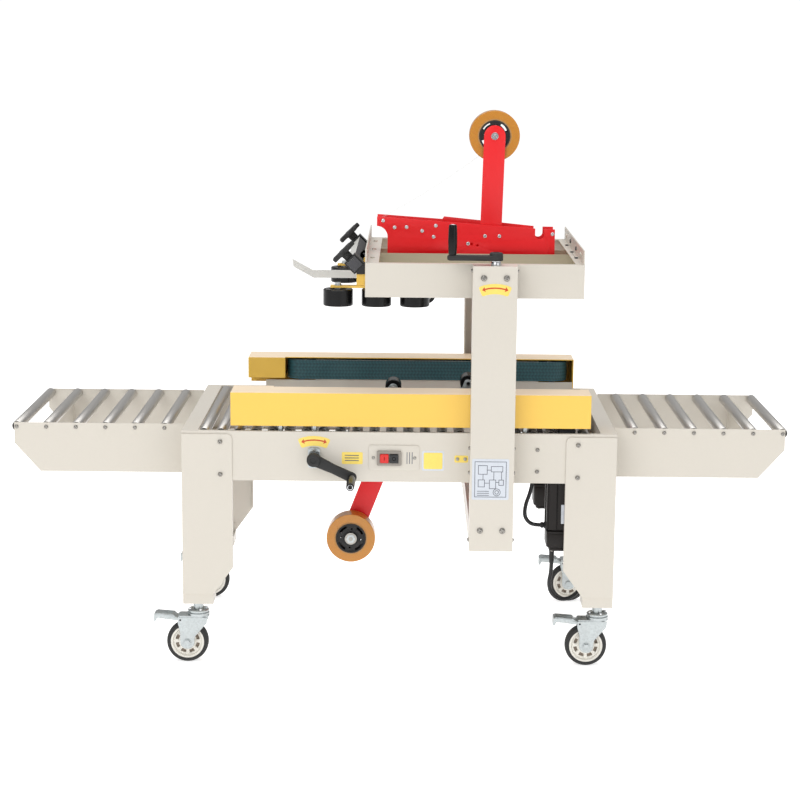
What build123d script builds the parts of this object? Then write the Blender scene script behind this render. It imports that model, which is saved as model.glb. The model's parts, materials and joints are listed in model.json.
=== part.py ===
"""Carton sealer with side belts: a roller bed on casters between two extension tables.

+X runs with the cartons from infeed to outfeed, +Y goes to the rear and +Z is up. The origin
lies on the floor under the middle of the bed. All sizes are in millimetres. Pairs of parts are
drawn once for the rear side (+Y) and mirrored to the front, where the controls are.
"""

import math
import os

from build123d import *

# ---------------------------------------------------------------- driving sizes
SHEET = 3.0

BED_LENGTH = 1020.0
BED_WIDTH = 620.0
BED_TOP = 570.0
BED_HEIGHT = 118.0
BED_LIP = 10.0
BED_END_FLANGE = 38.0

TABLE_REACH = 407.0
TABLE_WIDTH = 460.0
TABLE_GAP = 2.0
TABLE_CHAMFER_X = 61.0
TABLE_CHAMFER_Z = 68.0
TABLE_ROLLERS = 6
TABLE_FIRST_ROLLER = 49.0

ROLLER_RADIUS = 12.5
ROLLER_WALL = 1.5
ROLLER_RISE = 2.5
ROLLER_CAP = 12.0
AXLE_RADIUS = 5.0
BED_ROLLER_PITCH = 40.0
BED_FIRST_ROLLER_X = -459.0
BED_INFEED_ROLLERS = 9
BED_SHORT_ROLLERS = 9
BED_OUTFEED_ROLLERS = 4
ROLLER_END_GAP = 22.0

LEG_WIDTH = 119.0
LEG_TOP_DROP = 7.0
LEG_CORNER_RADIUS = 12.0
FOOT_WIDTH = 72.0
FOOT_DEPTH = 68.0
FOOT_BOTTOM = 150.0
LEG_BOTTOM = 175.0
FOOT_WALL = 20.0
LEG_CHAMFER_TOP = 240.0
LEG_LIP = 12.0

WHEEL_RADIUS = 50.0
TYRE_THICKNESS = 10.0
WHEEL_WIDTH = 30.0
CASTER_TRAIL = 26.0
CASTER_INSET = 33.0
CASTER_STEM_RADIUS = 6.0
CASTER_RACE_RADIUS = 26.0
CASTER_RACE_BOTTOM = 116.0
CASTER_RACE_TOP = 130.0
FORK_GAUGE = 3.0
FORK_SIDE_GAP = 2.5

COLUMN_X = 216.5
COLUMN_WIDTH = 102.0
COLUMN_DEPTH = 50.0
COLUMN_BOTTOM = 299.0
COLUMN_TOP = 968.0
TIE_BEAM_BOTTOM = 305.0
TIE_BEAM_HEIGHT = 60.0
LIFT_SCREW_INSET = 23.0
SCREW_RADIUS = 10.0
BEARING_RADIUS = 16.0
BEARING_LENGTH = 12.0
SPROCKET_RADIUS = 18.0
CHAIN_THICKNESS = 3.0
CHAIN_HEIGHT = 6.0
CHAIN_BOTTOM = 318.0

HEAD_INFEED_X = -82.0
HEAD_LENGTH = 507.0
HEAD_BOTTOM = 887.0
HEAD_HEIGHT = 79.0
HEAD_SIDE_GAP = 10.0
HEAD_UPSTAND = 32.0
HEAD_TOP_LIP = 15.0
HEAD_INFEED_FLANGE = 31.0
HEAD_OUTFEED_FLANGE = 20.0
HEAD_END_CLEARANCE = 43.0
RAIL_FACE = 50.0
RAIL_BOTTOM = 905.0
SLIDER_HEIGHT = 60.0
SLIDER_CLEARANCE = 0.5
BRACKET_WIDTH = 32.0
BRACKET_HEIGHT = 40.0

PRESS_BAR_X = -108.0
PRESS_BAR_Z = 957.0
PRESS_BAR_HALF_DIAGONAL = 19.0
PRESS_BAR_REACH = 244.0
PRESS_BAR_STAY = 50.0
CLAMP_HALF_DIAGONAL = 24.5
CLAMP_LENGTH = 30.0
PRESS_TRACK = 226.0
PRESS_ROLLER_RADIUS = 35.0
PRESS_ROLLER_HEIGHT = 39.0
PRESS_ROLLER_BOTTOM = 858.0
PRESS_ROLLER_PITCH = 90.0
PRESS_FIRST_ROLLER_X = -147.0
PRESS_ARM_WIDTH = 24.0
PRESS_ARM_GAUGE = 5.0
WEB_WIDTH = 20.0
KNOB_RADIUS = 33.0
KNOB_THICKNESS = 11.0
KNOB_HUB_RADIUS = 11.0
KNOB_HUB_LENGTH = 15.0
KNOB_STEM_RADIUS = 4.0

CARTRIDGE_HALF_WIDTH = 36.0
TAPE_WIDTH = 48.0
TAPE_RADIUS = 61.0
CORE_RADIUS = 38.0
HUB_HALF_LENGTH = 26.0
ROLL_SHAFT_RADIUS = 10.0
ROLL_ARM_WIDTH = 52.0
NIP_RADIUS = 20.0
NIP_HALF_LENGTH = 26.0
PIVOT_RADIUS = 6.0
NIP_ARM_X = 58.0
NIP_ARM_Z = 86.0
NIP_SPACING = 185.0
UPPER_ROLL = (223.0, 1246.0)
LOWER_ROLL = (-120.5, 241.0)
UPPER_PIVOT = (6.0, 943.0)
LOWER_PIVOT = (-75.0, 540.0)

UNIT_LENGTH = 843.0
UNIT_INFEED_X = -395.0
UNIT_BOTTOM = 582.0
UNIT_HEIGHT = 79.0
UNIT_OUTER_GAP = 5.0
UNIT_DEPTH = 84.0
NOSE_LENGTH = 96.0
NOSE_BOTTOM = 607.0
NOSE_STEP = 11.0
BASE_SETBACK = 45.0
BASE_LIP = 19.0
BELT_HEIGHT = 50.0
BELT_THICKNESS = 4.0
BELT_STEP = 5.0
PULLEY_RADIUS = 33.0
PULLEY_SHAFT_RADIUS = 8.0
MOTOR_X = 395.0
MOTOR_SIZE = 90.0
MOTOR_INSET = 55.0
MOTOR_BOTTOM = 258.0
MOTOR_TOP_GAP = 2.5
MOTOR_NECK = 40.0

GUIDE_RODS_X = (-279.0, 295.0)
GUIDE_ROD_RADIUS = 8.0
GUIDE_ROD_Z = 500.0
WIDTH_SCREW_X = -199.0
WIDTH_SCREW_Z = 509.0
CARRIAGE_THICKNESS = 8.0
CARRIAGE_WIDTH = 50.0
CARRIAGE_BOTTOM = 485.0
NUT_RADIUS = 18.0
NUT_LENGTH = 30.0

CRANK_BEARING_DEPTH = 6.0
CRANK_BEARING_HALF = 14.0
CRANK_THROW = 98.0
CRANK_HUB_RADIUS = 16.0
CRANK_END_RADIUS = 12.0
CRANK_ARM_THICKNESS = 12.0
CRANK_GRIP_RADIUS = 10.5
WIDTH_GRIP_LENGTH = 100.0
LIFT_GRIP_LENGTH = 62.0
WIDTH_CRANK_ANGLE = -25.0
LIFT_CRANK_ANGLE = 180.0

SWITCH_X = (-71.0, 48.0)
SWITCH_Z = (480.0, 540.0)
SWITCH_PLATE = 2.0
BEZEL_X = (-52.0, 6.0)
BEZEL_Z = (492.0, 527.0)
BEZEL_DEPTH = 6.0
BUTTON_WIDTH = 20.0
BUTTON_HEIGHT = 21.0
BUTTON_DEPTH = 7.0
BUTTON_PROUD = 3.0
BUTTON_GAP = 2.5
BUTTON_CLEARANCE = 0.3

CORD_RADIUS = 4.75
GLAND_RADIUS = 8.0
GLAND_LENGTH = 12.0

RUNNING = 0.05
FACE_GAP = 0.3

# ---------------------------------------------------------------- sizes that follow
HALF_LENGTH = BED_LENGTH / 2
HALF_WIDTH = BED_WIDTH / 2
PANEL_INNER = HALF_WIDTH - SHEET
BED_BOTTOM = BED_TOP - BED_HEIGHT
ROLLER_Z = BED_TOP + ROLLER_RISE - ROLLER_RADIUS
ROLLER_UNDERSIDE = ROLLER_Z - ROLLER_RADIUS
TABLE_START = HALF_LENGTH + TABLE_GAP
TABLE_END = HALF_LENGTH + TABLE_REACH
TABLE_INNER = TABLE_WIDTH / 2 - SHEET
TABLE_ROLLER_PITCH = (TABLE_REACH - TABLE_FIRST_ROLLER - 6.0) / (TABLE_ROLLERS - 1)
CASTER_X = HALF_LENGTH - CASTER_INSET
CASTER_Y = HALF_WIDTH - FOOT_DEPTH / 2
SCREW_Y = HALF_WIDTH + LIFT_SCREW_INSET
COLUMN_OUTER = HALF_WIDTH + COLUMN_DEPTH
HEAD_OUTER = HALF_WIDTH - HEAD_SIDE_GAP
HEAD_INNER = HEAD_OUTER - SHEET
HEAD_TOP = HEAD_BOTTOM + HEAD_HEIGHT
HEAD_OUTFEED_X = HEAD_INFEED_X + HEAD_LENGTH
UNIT_OUTER = HALF_WIDTH - UNIT_OUTER_GAP
UNIT_INNER = UNIT_OUTER - UNIT_DEPTH
MOTOR_Y = UNIT_OUTER - MOTOR_INSET
UNIT_TOP = UNIT_BOTTOM + UNIT_HEIGHT
UNIT_OUTFEED_X = UNIT_INFEED_X + UNIT_LENGTH
BELT_FACE = UNIT_INNER - BELT_STEP
BELT_BOTTOM = UNIT_BOTTOM + BASE_LIP + 3.0
PULLEY_Y = BELT_FACE + BELT_THICKNESS + PULLEY_RADIUS
INFEED_PULLEY_X = UNIT_INFEED_X + NOSE_LENGTH + PULLEY_RADIUS + BELT_THICKNESS + 3.0
PLATE_FACE = CARTRIDGE_HALF_WIDTH - SHEET
CRANK_COLLAR_RADIUS = SCREW_RADIUS + 2.0


# ---------------------------------------------------------------- building blocks
def box(x, y, z):
    """Block between two limits on each axis."""
    low = [min(pair) for pair in (x, y, z)]
    size = [abs(pair[1] - pair[0]) for pair in (x, y, z)]
    return Pos(*low) * Box(*size, align=(Align.MIN, Align.MIN, Align.MIN))


def rod_x(y, z, radius, start, end):
    """Round bar along X."""
    bar = Cylinder(radius, abs(end - start))
    return Pos((start + end) / 2, y, z) * Rot(0, 90, 0) * bar


def rod_y(x, z, radius, start, end):
    """Round bar along Y."""
    bar = Cylinder(radius, abs(end - start))
    return Pos(x, (start + end) / 2, z) * Rot(90, 0, 0) * bar


def rod_z(x, y, radius, start, end):
    """Round bar along Z."""
    return Pos(x, y, (start + end) / 2) * Cylinder(radius, abs(end - start))


def plate(outline, start, end):
    """Flat plate with an outline of (x, z) points, between two Y values."""
    face = Plane.XZ * Polygon(*outline, align=None)
    return Pos(0, max(start, end), 0) * extrude(face, amount=abs(end - start), dir=(0, -1, 0))


def link(first, second, radius, start, end):
    """Flat bar with round ends about two (x, z) points, between two Y values."""
    dx = second[0] - first[0]
    dz = second[1] - first[1]
    length = math.hypot(dx, dz)
    side = (-dz / length * radius, dx / length * radius)
    outline = [
        (first[0] + side[0], first[1] + side[1]),
        (second[0] + side[0], second[1] + side[1]),
        (second[0] - side[0], second[1] - side[1]),
        (first[0] - side[0], first[1] - side[1]),
    ]
    bar = plate(outline, start, end)
    for x, z in (first, second):
        bar += rod_y(x, z, radius, start, end)
    return bar


def rear_to_front(shapes):
    """The shapes mirrored from the rear side to the front side."""
    return [mirror(shape, about=Plane.XZ) for shape in shapes]


def on_both_sides(shapes):
    """The shapes together with their mirrored copies."""
    return shapes + rear_to_front(shapes)


def infeed_copy(shapes):
    """The shapes mirrored from the outfeed end to the infeed end."""
    return [mirror(shape, about=Plane.YZ) for shape in shapes]


def on_both_ends(shapes):
    """The shapes together with their copies at the infeed end."""
    return shapes + infeed_copy(shapes)


def diamond(x, z, half_diagonal, start, end):
    """Square bar along Y, standing on its edge."""
    outline = [
        (x - half_diagonal, z),
        (x, z - half_diagonal),
        (x + half_diagonal, z),
        (x, z + half_diagonal),
    ]
    return plate(outline, start, end)


# ---------------------------------------------------------------- bed
def bed_roller_places():
    """X positions of the full rollers at the infeed, the short ones and those at the outfeed."""
    first = BED_FIRST_ROLLER_X
    infeed = [first + BED_ROLLER_PITCH * k for k in range(BED_INFEED_ROLLERS)]
    short = [infeed[-1] + BED_ROLLER_PITCH * (k + 1) for k in range(BED_SHORT_ROLLERS)]
    last = MOTOR_X + BED_ROLLER_PITCH
    before_motor = MOTOR_X - BED_ROLLER_PITCH
    outfeed = [before_motor - BED_ROLLER_PITCH * k for k in range(BED_OUTFEED_ROLLERS - 1)] + [last]
    return infeed, short, outfeed


RAIL_INNER = 55.0
CROSS_PLATE_INFEED_X = -121.0
CROSS_PLATE_OUTFEED_X = 243.0
CROSS_PLATE_BOTTOM = 500.0
LEAD_BRACKET_Z = 470.0
LEAD_BRACKET_X = (305.0, 329.0)
LEAD_BRACKET_Y = -240.0
UPPER_LEAD_START = (317.0, -MOTOR_Y - 5.0)


def bed_frame():
    """Side panels, end members and the carrier of the tape cartridge, all of folded sheet."""
    side = box((-HALF_LENGTH, HALF_LENGTH), (PANEL_INNER, HALF_WIDTH), (BED_BOTTOM, BED_TOP))
    side -= rod_y(WIDTH_SCREW_X, WIDTH_SCREW_Z, SCREW_RADIUS + RUNNING, PANEL_INNER, HALF_WIDTH)
    lip = box(
        (-HALF_LENGTH + SHEET, HALF_LENGTH - SHEET),
        (PANEL_INNER - BED_LIP, PANEL_INNER),
        (BED_BOTTOM, BED_BOTTOM + SHEET),
    )
    top_lip = box(
        (-HALF_LENGTH + BED_END_FLANGE, HALF_LENGTH - BED_END_FLANGE),
        (PANEL_INNER - BED_LIP, PANEL_INNER),
        (BED_TOP - SHEET, BED_TOP),
    )
    end = box(
        (HALF_LENGTH - SHEET, HALF_LENGTH),
        (-PANEL_INNER, PANEL_INNER),
        (BED_BOTTOM, BED_TOP - SHEET),
    )
    end_flange = box(
        (HALF_LENGTH - BED_END_FLANGE, HALF_LENGTH),
        (-PANEL_INNER, PANEL_INNER),
        (BED_TOP - SHEET, BED_TOP),
    )
    end_foot = box(
        (HALF_LENGTH - 23.0, HALF_LENGTH - SHEET),
        (-PANEL_INNER + BED_LIP, PANEL_INNER - BED_LIP),
        (BED_BOTTOM, BED_BOTTOM + SHEET),
    )
    rail = box(
        (CROSS_PLATE_INFEED_X + SHEET, CROSS_PLATE_OUTFEED_X),
        (RAIL_INNER, RAIL_INNER + SHEET),
        (CROSS_PLATE_BOTTOM, BED_TOP - SHEET),
    )
    cross = [
        box((x, x + SHEET), (-PANEL_INNER, PANEL_INNER), (CROSS_PLATE_BOTTOM, BED_TOP - SHEET - 1.0))
        for x in (CROSS_PLATE_INFEED_X, CROSS_PLATE_OUTFEED_X)
    ]
    lead_bracket = box(
        LEAD_BRACKET_X,
        (-PANEL_INNER, LEAD_BRACKET_Y),
        (LEAD_BRACKET_Z, LEAD_BRACKET_Z + SHEET),
    )
    return (
        on_both_sides([side, lip, top_lip, rail])
        + on_both_ends([end, end_flange, end_foot])
        + cross
        + [lead_bracket]
    )


def plain_roller(x, start, end, inner_stub, outer_stub):
    """Bed roller with its axle ends, as one turned piece."""
    roller = rod_y(x, ROLLER_Z, ROLLER_RADIUS, start, end)
    roller += rod_y(x, ROLLER_Z, AXLE_RADIUS, inner_stub, outer_stub)
    return roller


def bed_rollers_and_rods():
    """Rollers of the bed and the two rods that the drive units slide on."""
    infeed, short, outfeed = bed_roller_places()
    reach = PANEL_INNER - ROLLER_END_GAP
    rollers = [plain_roller(x, -reach, reach, -PANEL_INNER, PANEL_INNER) for x in infeed + outfeed]
    inner = RAIL_INNER + SHEET
    halves = [plain_roller(x, inner + 4.0, reach, inner, PANEL_INNER) for x in short]
    rods = [rod_y(x, GUIDE_ROD_Z, GUIDE_ROD_RADIUS, -PANEL_INNER, PANEL_INNER) for x in GUIDE_RODS_X]
    return rollers + on_both_sides(halves) + rods


# ---------------------------------------------------------------- legs and casters
def legs():
    """Four folded sheet legs, each with a box foot for its caster."""
    inner = HALF_LENGTH - LEG_WIDTH
    foot_inner = HALF_LENGTH - FOOT_WIDTH
    top = BED_TOP - LEG_TOP_DROP
    foot_top = LEG_BOTTOM + FOOT_WALL
    outline = [
        (HALF_LENGTH, LEG_BOTTOM),
        (HALF_LENGTH, top),
        (inner, top),
        (inner, LEG_CHAMFER_TOP),
        (foot_inner, LEG_BOTTOM),
    ]
    face = plate(outline, HALF_WIDTH, HALF_WIDTH + SHEET)
    corner = face.edges().filter_by(Axis.Y).sort_by(Axis.Z)[-2:].sort_by(Axis.X)[0]
    face = fillet(corner, LEG_CORNER_RADIUS)
    end_depth = (HALF_WIDTH - FOOT_DEPTH, HALF_WIDTH)
    end = box((HALF_LENGTH - SHEET, HALF_LENGTH), end_depth, (FOOT_BOTTOM, BED_BOTTOM))
    foot_face = box((foot_inner, HALF_LENGTH - SHEET), (PANEL_INNER, HALF_WIDTH), (FOOT_BOTTOM, foot_top))
    depth = (HALF_WIDTH - FOOT_DEPTH, PANEL_INNER)
    sole = box((foot_inner, HALF_LENGTH - SHEET), depth, (FOOT_BOTTOM, FOOT_BOTTOM + SHEET))
    sole -= rod_z(CASTER_X, CASTER_Y, CASTER_STEM_RADIUS + FACE_GAP, FOOT_BOTTOM, FOOT_BOTTOM + SHEET)
    foot_side = box((foot_inner, foot_inner + SHEET), depth, (FOOT_BOTTOM + SHEET, LEG_BOTTOM))
    lip = box((inner, inner + SHEET), (HALF_WIDTH - LEG_LIP, HALF_WIDTH), (LEG_CHAMFER_TOP, BED_BOTTOM))
    return on_both_ends(on_both_sides([face, end, foot_face, sole, foot_side, lip]))


def caster_stem(x, y):
    """Fixed stem of a caster with its collar, nut and the head that holds the swivel."""
    stem = rod_z(x, y, CASTER_STEM_RADIUS, CASTER_RACE_BOTTOM - 4.0, FOOT_BOTTOM + SHEET + 8.0)
    stem += rod_z(x, y, 10.0, CASTER_RACE_BOTTOM - 4.0 - FACE_GAP, CASTER_RACE_BOTTOM - FACE_GAP)
    stem += rod_z(x, y, 12.0, CASTER_RACE_TOP + FACE_GAP, FOOT_BOTTOM)
    stem += rod_z(x, y, 10.0, FOOT_BOTTOM + SHEET, FOOT_BOTTOM + SHEET + 8.0)
    return stem


FORK_PLATE_TOP = CASTER_RACE_BOTTOM
FORK_PLATE_BOTTOM = CASTER_RACE_BOTTOM - 4.0
FORK_BACK = 48.0
FORK_FRONT = 24.0
AXLE_BOSS_RADIUS = 13.0
AXLE_NUT_RADIUS = 9.0
AXLE_NUT_HEIGHT = 5.0
STEM_HEAD_RADIUS = 10.0
PEDAL_PIN = (-42.0, 105.5)
PEDAL_PIN_RADIUS = 3.0
PEDAL_BARREL_RADIUS = 5.5
PEDAL_REACH = 64.0
PEDAL_TOE_DROP = 16.0


def caster_fork(x, y):
    """Swivel fork: ball race, top plate, two side plates, wheel bolt and pedal pin."""
    inner = WHEEL_WIDTH / 2 + FORK_SIDE_GAP
    outer = inner + FORK_GAUGE
    stem_hole = rod_z(x, y, CASTER_STEM_RADIUS + RUNNING, FORK_PLATE_BOTTOM, CASTER_RACE_TOP)
    head_recess = rod_z(x, y, STEM_HEAD_RADIUS + FACE_GAP, FORK_PLATE_BOTTOM - 1.0, FORK_PLATE_TOP)
    race = rod_z(x, y, CASTER_RACE_RADIUS, CASTER_RACE_BOTTOM, CASTER_RACE_TOP) - stem_hole
    crown_z = (FORK_PLATE_BOTTOM, FORK_PLATE_TOP)
    top = box((x - FORK_BACK, x + FORK_FRONT), (y - outer, y + outer), crown_z) - head_recess
    axle = (x - CASTER_TRAIL, WHEEL_RADIUS)
    outline = [
        (x - FORK_BACK, FORK_PLATE_BOTTOM),
        (x - FORK_BACK, FORK_PLATE_BOTTOM - 14.0),
        (x - FORK_BACK + 7.0, FORK_PLATE_BOTTOM - 20.0),
        (axle[0] - AXLE_BOSS_RADIUS, axle[1]),
        (axle[0] + AXLE_BOSS_RADIUS, axle[1]),
        (x + FORK_FRONT - 5.0, FORK_PLATE_BOTTOM - 14.0),
        (x + FORK_FRONT - 2.0, FORK_PLATE_BOTTOM),
    ]
    side = plate(outline, y + inner, y + outer)
    side += rod_y(*axle, AXLE_BOSS_RADIUS, y + inner, y + outer)
    side -= rod_y(*axle, AXLE_RADIUS, y + inner, y + outer)
    pin_place = (x + PEDAL_PIN[0], PEDAL_PIN[1])
    side -= rod_y(*pin_place, PEDAL_PIN_RADIUS, y + inner, y + outer)
    other = Pos(0, -inner - outer, 0) * side
    bolt = rod_y(*axle, AXLE_RADIUS, y - outer, y + outer)
    bolt += rod_y(*axle, AXLE_NUT_RADIUS, y + outer, y + outer + AXLE_NUT_HEIGHT)
    bolt += rod_y(*axle, AXLE_NUT_RADIUS, y - outer - AXLE_NUT_HEIGHT, y - outer)
    pin = rod_y(*pin_place, PEDAL_PIN_RADIUS, y - outer, y + outer)
    return [race, top, side, other, bolt, pin]


def caster_wheel(x, y):
    """Rim and rubber tyre of a caster."""
    centre = (x - CASTER_TRAIL, WHEEL_RADIUS)
    half = WHEEL_WIDTH / 2
    rim_radius = WHEEL_RADIUS - TYRE_THICKNESS
    rim = rod_y(*centre, rim_radius, y - half + 2.0, y + half - 2.0)
    rim -= rod_y(*centre, AXLE_RADIUS + RUNNING, y - half, y + half)
    tyre = rod_y(*centre, WHEEL_RADIUS, y - half, y + half)
    tyre -= rod_y(*centre, rim_radius, y - half, y + half)
    circles = tyre.edges().filter_by(GeomType.CIRCLE)
    outer_edges = circles.filter_by(lambda edge: edge.radius > rim_radius + 1)
    return [rim, fillet(outer_edges, TYRE_THICKNESS * 0.4)]


def caster_pedal(x, y):
    """Brake pedal on its pin, with a turned-down toe."""
    inner = WHEEL_WIDTH / 2 + FORK_SIDE_GAP - 0.5
    pin_x = x + PEDAL_PIN[0]
    pin_z = PEDAL_PIN[1]
    top = pin_z + PEDAL_TOE_DROP
    toe = pin_x - PEDAL_REACH
    outline = [
        (pin_x, pin_z - 2.0),
        (pin_x, pin_z + 3.0),
        (pin_x - 9.0, pin_z + 4.5),
        (pin_x - 18.0, top - 4.0),
        (toe + 6.0, top),
        (toe, top - 3.0),
        (toe, top - PEDAL_TOE_DROP),
        (toe + 3.0, top - PEDAL_TOE_DROP),
        (toe + 6.0, top - 7.0),
        (pin_x - 14.0, top - 11.0),
    ]
    pedal = plate(outline, y - inner, y + inner)
    pedal += rod_y(pin_x, pin_z, PEDAL_BARREL_RADIUS, y - inner, y + inner)
    pedal -= rod_y(pin_x, pin_z, PEDAL_PIN_RADIUS + RUNNING, y - inner, y + inner)
    return [pedal]


# ---------------------------------------------------------------- extension tables
def table_roller_places():
    """Distances of the table rollers from the middle of the bed."""
    first = HALF_LENGTH + TABLE_FIRST_ROLLER
    return [first + TABLE_ROLLER_PITCH * k for k in range(TABLE_ROLLERS)]


def table_frames():
    """Two extension tables: side panels, cross members and the fixed axles of the rollers."""
    half = TABLE_WIDTH / 2
    outline = [
        (TABLE_START, BED_BOTTOM),
        (TABLE_END - TABLE_CHAMFER_X, BED_BOTTOM),
        (TABLE_END, BED_BOTTOM + TABLE_CHAMFER_Z),
        (TABLE_END, BED_TOP),
        (TABLE_START, BED_TOP),
    ]
    side = plate(outline, TABLE_INNER, half)
    for x in table_roller_places():
        side -= rod_y(x, ROLLER_Z, AXLE_RADIUS, TABLE_INNER, half)
    flange = box(
        (TABLE_START + SHEET, TABLE_END - TABLE_CHAMFER_X - 5.0),
        (TABLE_INNER - 15.0, TABLE_INNER),
        (BED_BOTTOM, BED_BOTTOM + SHEET),
    )
    top_of_cross = ROLLER_UNDERSIDE - 3.0
    end = box((TABLE_START, TABLE_START + SHEET), (-TABLE_INNER, TABLE_INNER), (BED_BOTTOM, top_of_cross))
    outer_x = TABLE_END - TABLE_CHAMFER_X - SHEET
    cross = box(
        (outer_x, outer_x + SHEET),
        (-TABLE_INNER, TABLE_INNER),
        (BED_BOTTOM + 8.0, top_of_cross - 10.0),
    )
    axles = [rod_y(x, ROLLER_Z, AXLE_RADIUS, -half, half) for x in table_roller_places()]
    return on_both_ends(on_both_sides([side, flange]) + [end, cross] + axles)


def table_roller(x):
    """Conveyor roller: tube with a bearing cap at each end."""
    reach = TABLE_INNER - 3.0
    tube = rod_y(x, ROLLER_Z, ROLLER_RADIUS, -reach, reach)
    tube -= rod_y(x, ROLLER_Z, ROLLER_RADIUS - ROLLER_WALL, -reach, reach)
    cap = rod_y(x, ROLLER_Z, ROLLER_RADIUS - ROLLER_WALL, reach - ROLLER_CAP, reach + 1.0)
    cap -= rod_y(x, ROLLER_Z, AXLE_RADIUS + RUNNING, reach - ROLLER_CAP, reach + 1.0)
    return [tube] + on_both_sides([cap])


# ---------------------------------------------------------------- columns and lift
def columns():
    """Two open columns beside the bed and the beam that ties them together underneath."""
    left = COLUMN_X - COLUMN_WIDTH / 2
    right = COLUMN_X + COLUMN_WIDTH / 2
    height = (COLUMN_BOTTOM, COLUMN_TOP)
    inside = (left + SHEET, right - SHEET)
    depth = (HALF_WIDTH, COLUMN_OUTER - SHEET)
    face = box((left, right), (COLUMN_OUTER - SHEET, COLUMN_OUTER), height)
    near = box((left, left + SHEET), depth, height)
    far = box((right - SHEET, right), depth, height)
    bore = rod_z(COLUMN_X, SCREW_Y, SCREW_RADIUS + RUNNING, COLUMN_BOTTOM, COLUMN_TOP)
    cap = box(inside, depth, (COLUMN_TOP - SHEET, COLUMN_TOP)) - bore
    floor = box(inside, depth, (COLUMN_BOTTOM, COLUMN_BOTTOM + SHEET)) - bore
    low_start = COLUMN_BOTTOM + SHEET
    low = rod_z(COLUMN_X, SCREW_Y, BEARING_RADIUS, low_start, low_start + BEARING_LENGTH) - bore
    high_end = COLUMN_TOP - SHEET
    high = rod_z(COLUMN_X, SCREW_Y, BEARING_RADIUS, high_end - BEARING_LENGTH, high_end) - bore
    beam_top = TIE_BEAM_BOTTOM + TIE_BEAM_HEIGHT
    beam_length = (-HALF_WIDTH, HALF_WIDTH)
    beam = [
        box((left, right), beam_length, (beam_top - SHEET, beam_top)),
        box((left, left + SHEET), beam_length, (TIE_BEAM_BOTTOM, beam_top - SHEET)),
        box((right - SHEET, right), beam_length, (TIE_BEAM_BOTTOM, beam_top - SHEET)),
    ]
    return on_both_sides([face, near, far, cap, floor, low, high]) + beam


def chain_outline(radius):
    """Closed band shape about both lift screws, in plan."""
    loop = Pos(COLUMN_X, 0) * Rectangle(2 * radius, 2 * SCREW_Y)
    for y in (-SCREW_Y, SCREW_Y):
        loop += Pos(COLUMN_X, y) * Circle(radius)
    return loop


def lift_chain():
    """Chain between the two lift screws, drawn as a plain band."""
    inner = SPROCKET_RADIUS + FACE_GAP
    band = chain_outline(inner + CHAIN_THICKNESS) - chain_outline(inner)
    return [Pos(0, 0, CHAIN_BOTTOM) * extrude(band, amount=CHAIN_HEIGHT)]


def lift_screw(y, top):
    """Lift screw with its chain sprocket."""
    screw = rod_z(COLUMN_X, y, SCREW_RADIUS, COLUMN_BOTTOM, top)
    sprocket = rod_z(COLUMN_X, y, SPROCKET_RADIUS, CHAIN_BOTTOM, CHAIN_BOTTOM + CHAIN_HEIGHT)
    sprocket -= rod_z(COLUMN_X, y, SCREW_RADIUS, CHAIN_BOTTOM, CHAIN_BOTTOM + CHAIN_HEIGHT)
    return [screw, sprocket]


def crank_arm():
    """Crank in its own frame: hub on +Z about the origin, arm along +X, grip along +Z."""
    thick = CRANK_ARM_THICKNESS
    outline = [
        (0, CRANK_HUB_RADIUS),
        (CRANK_THROW, CRANK_END_RADIUS),
        (CRANK_THROW, -CRANK_END_RADIUS),
        (0, -CRANK_HUB_RADIUS),
    ]
    arm = extrude(Polygon(*outline, align=None), amount=thick)
    arm += rod_z(0, 0, CRANK_HUB_RADIUS, 0, thick)
    arm += rod_z(CRANK_THROW, 0, CRANK_END_RADIUS, 0, thick)
    return arm


def crank(grip_length):
    """Arm and grip of a crank, in the frame of crank_arm."""
    start = CRANK_ARM_THICKNESS
    grip = rod_z(CRANK_THROW, 0, CRANK_GRIP_RADIUS, start, start + grip_length)
    return [crank_arm(), grip]


LIFT_HUB_HEIGHT = 18.0


def lift_crank():
    """Front lift screw with the crank that raises and lowers the head."""
    base = COLUMN_TOP + FACE_GAP
    hub = rod_z(COLUMN_X, -SCREW_Y, CRANK_COLLAR_RADIUS, base, base + LIFT_HUB_HEIGHT)
    hub -= rod_z(COLUMN_X, -SCREW_Y, SCREW_RADIUS, base, base + LIFT_HUB_HEIGHT)
    place = Pos(COLUMN_X, -SCREW_Y, base + LIFT_HUB_HEIGHT) * Rot(0, 0, LIFT_CRANK_ANGLE)
    arm = [place * piece for piece in crank(LIFT_GRIP_LENGTH)]
    return lift_screw(-SCREW_Y, base + LIFT_HUB_HEIGHT) + [hub] + arm


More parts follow.
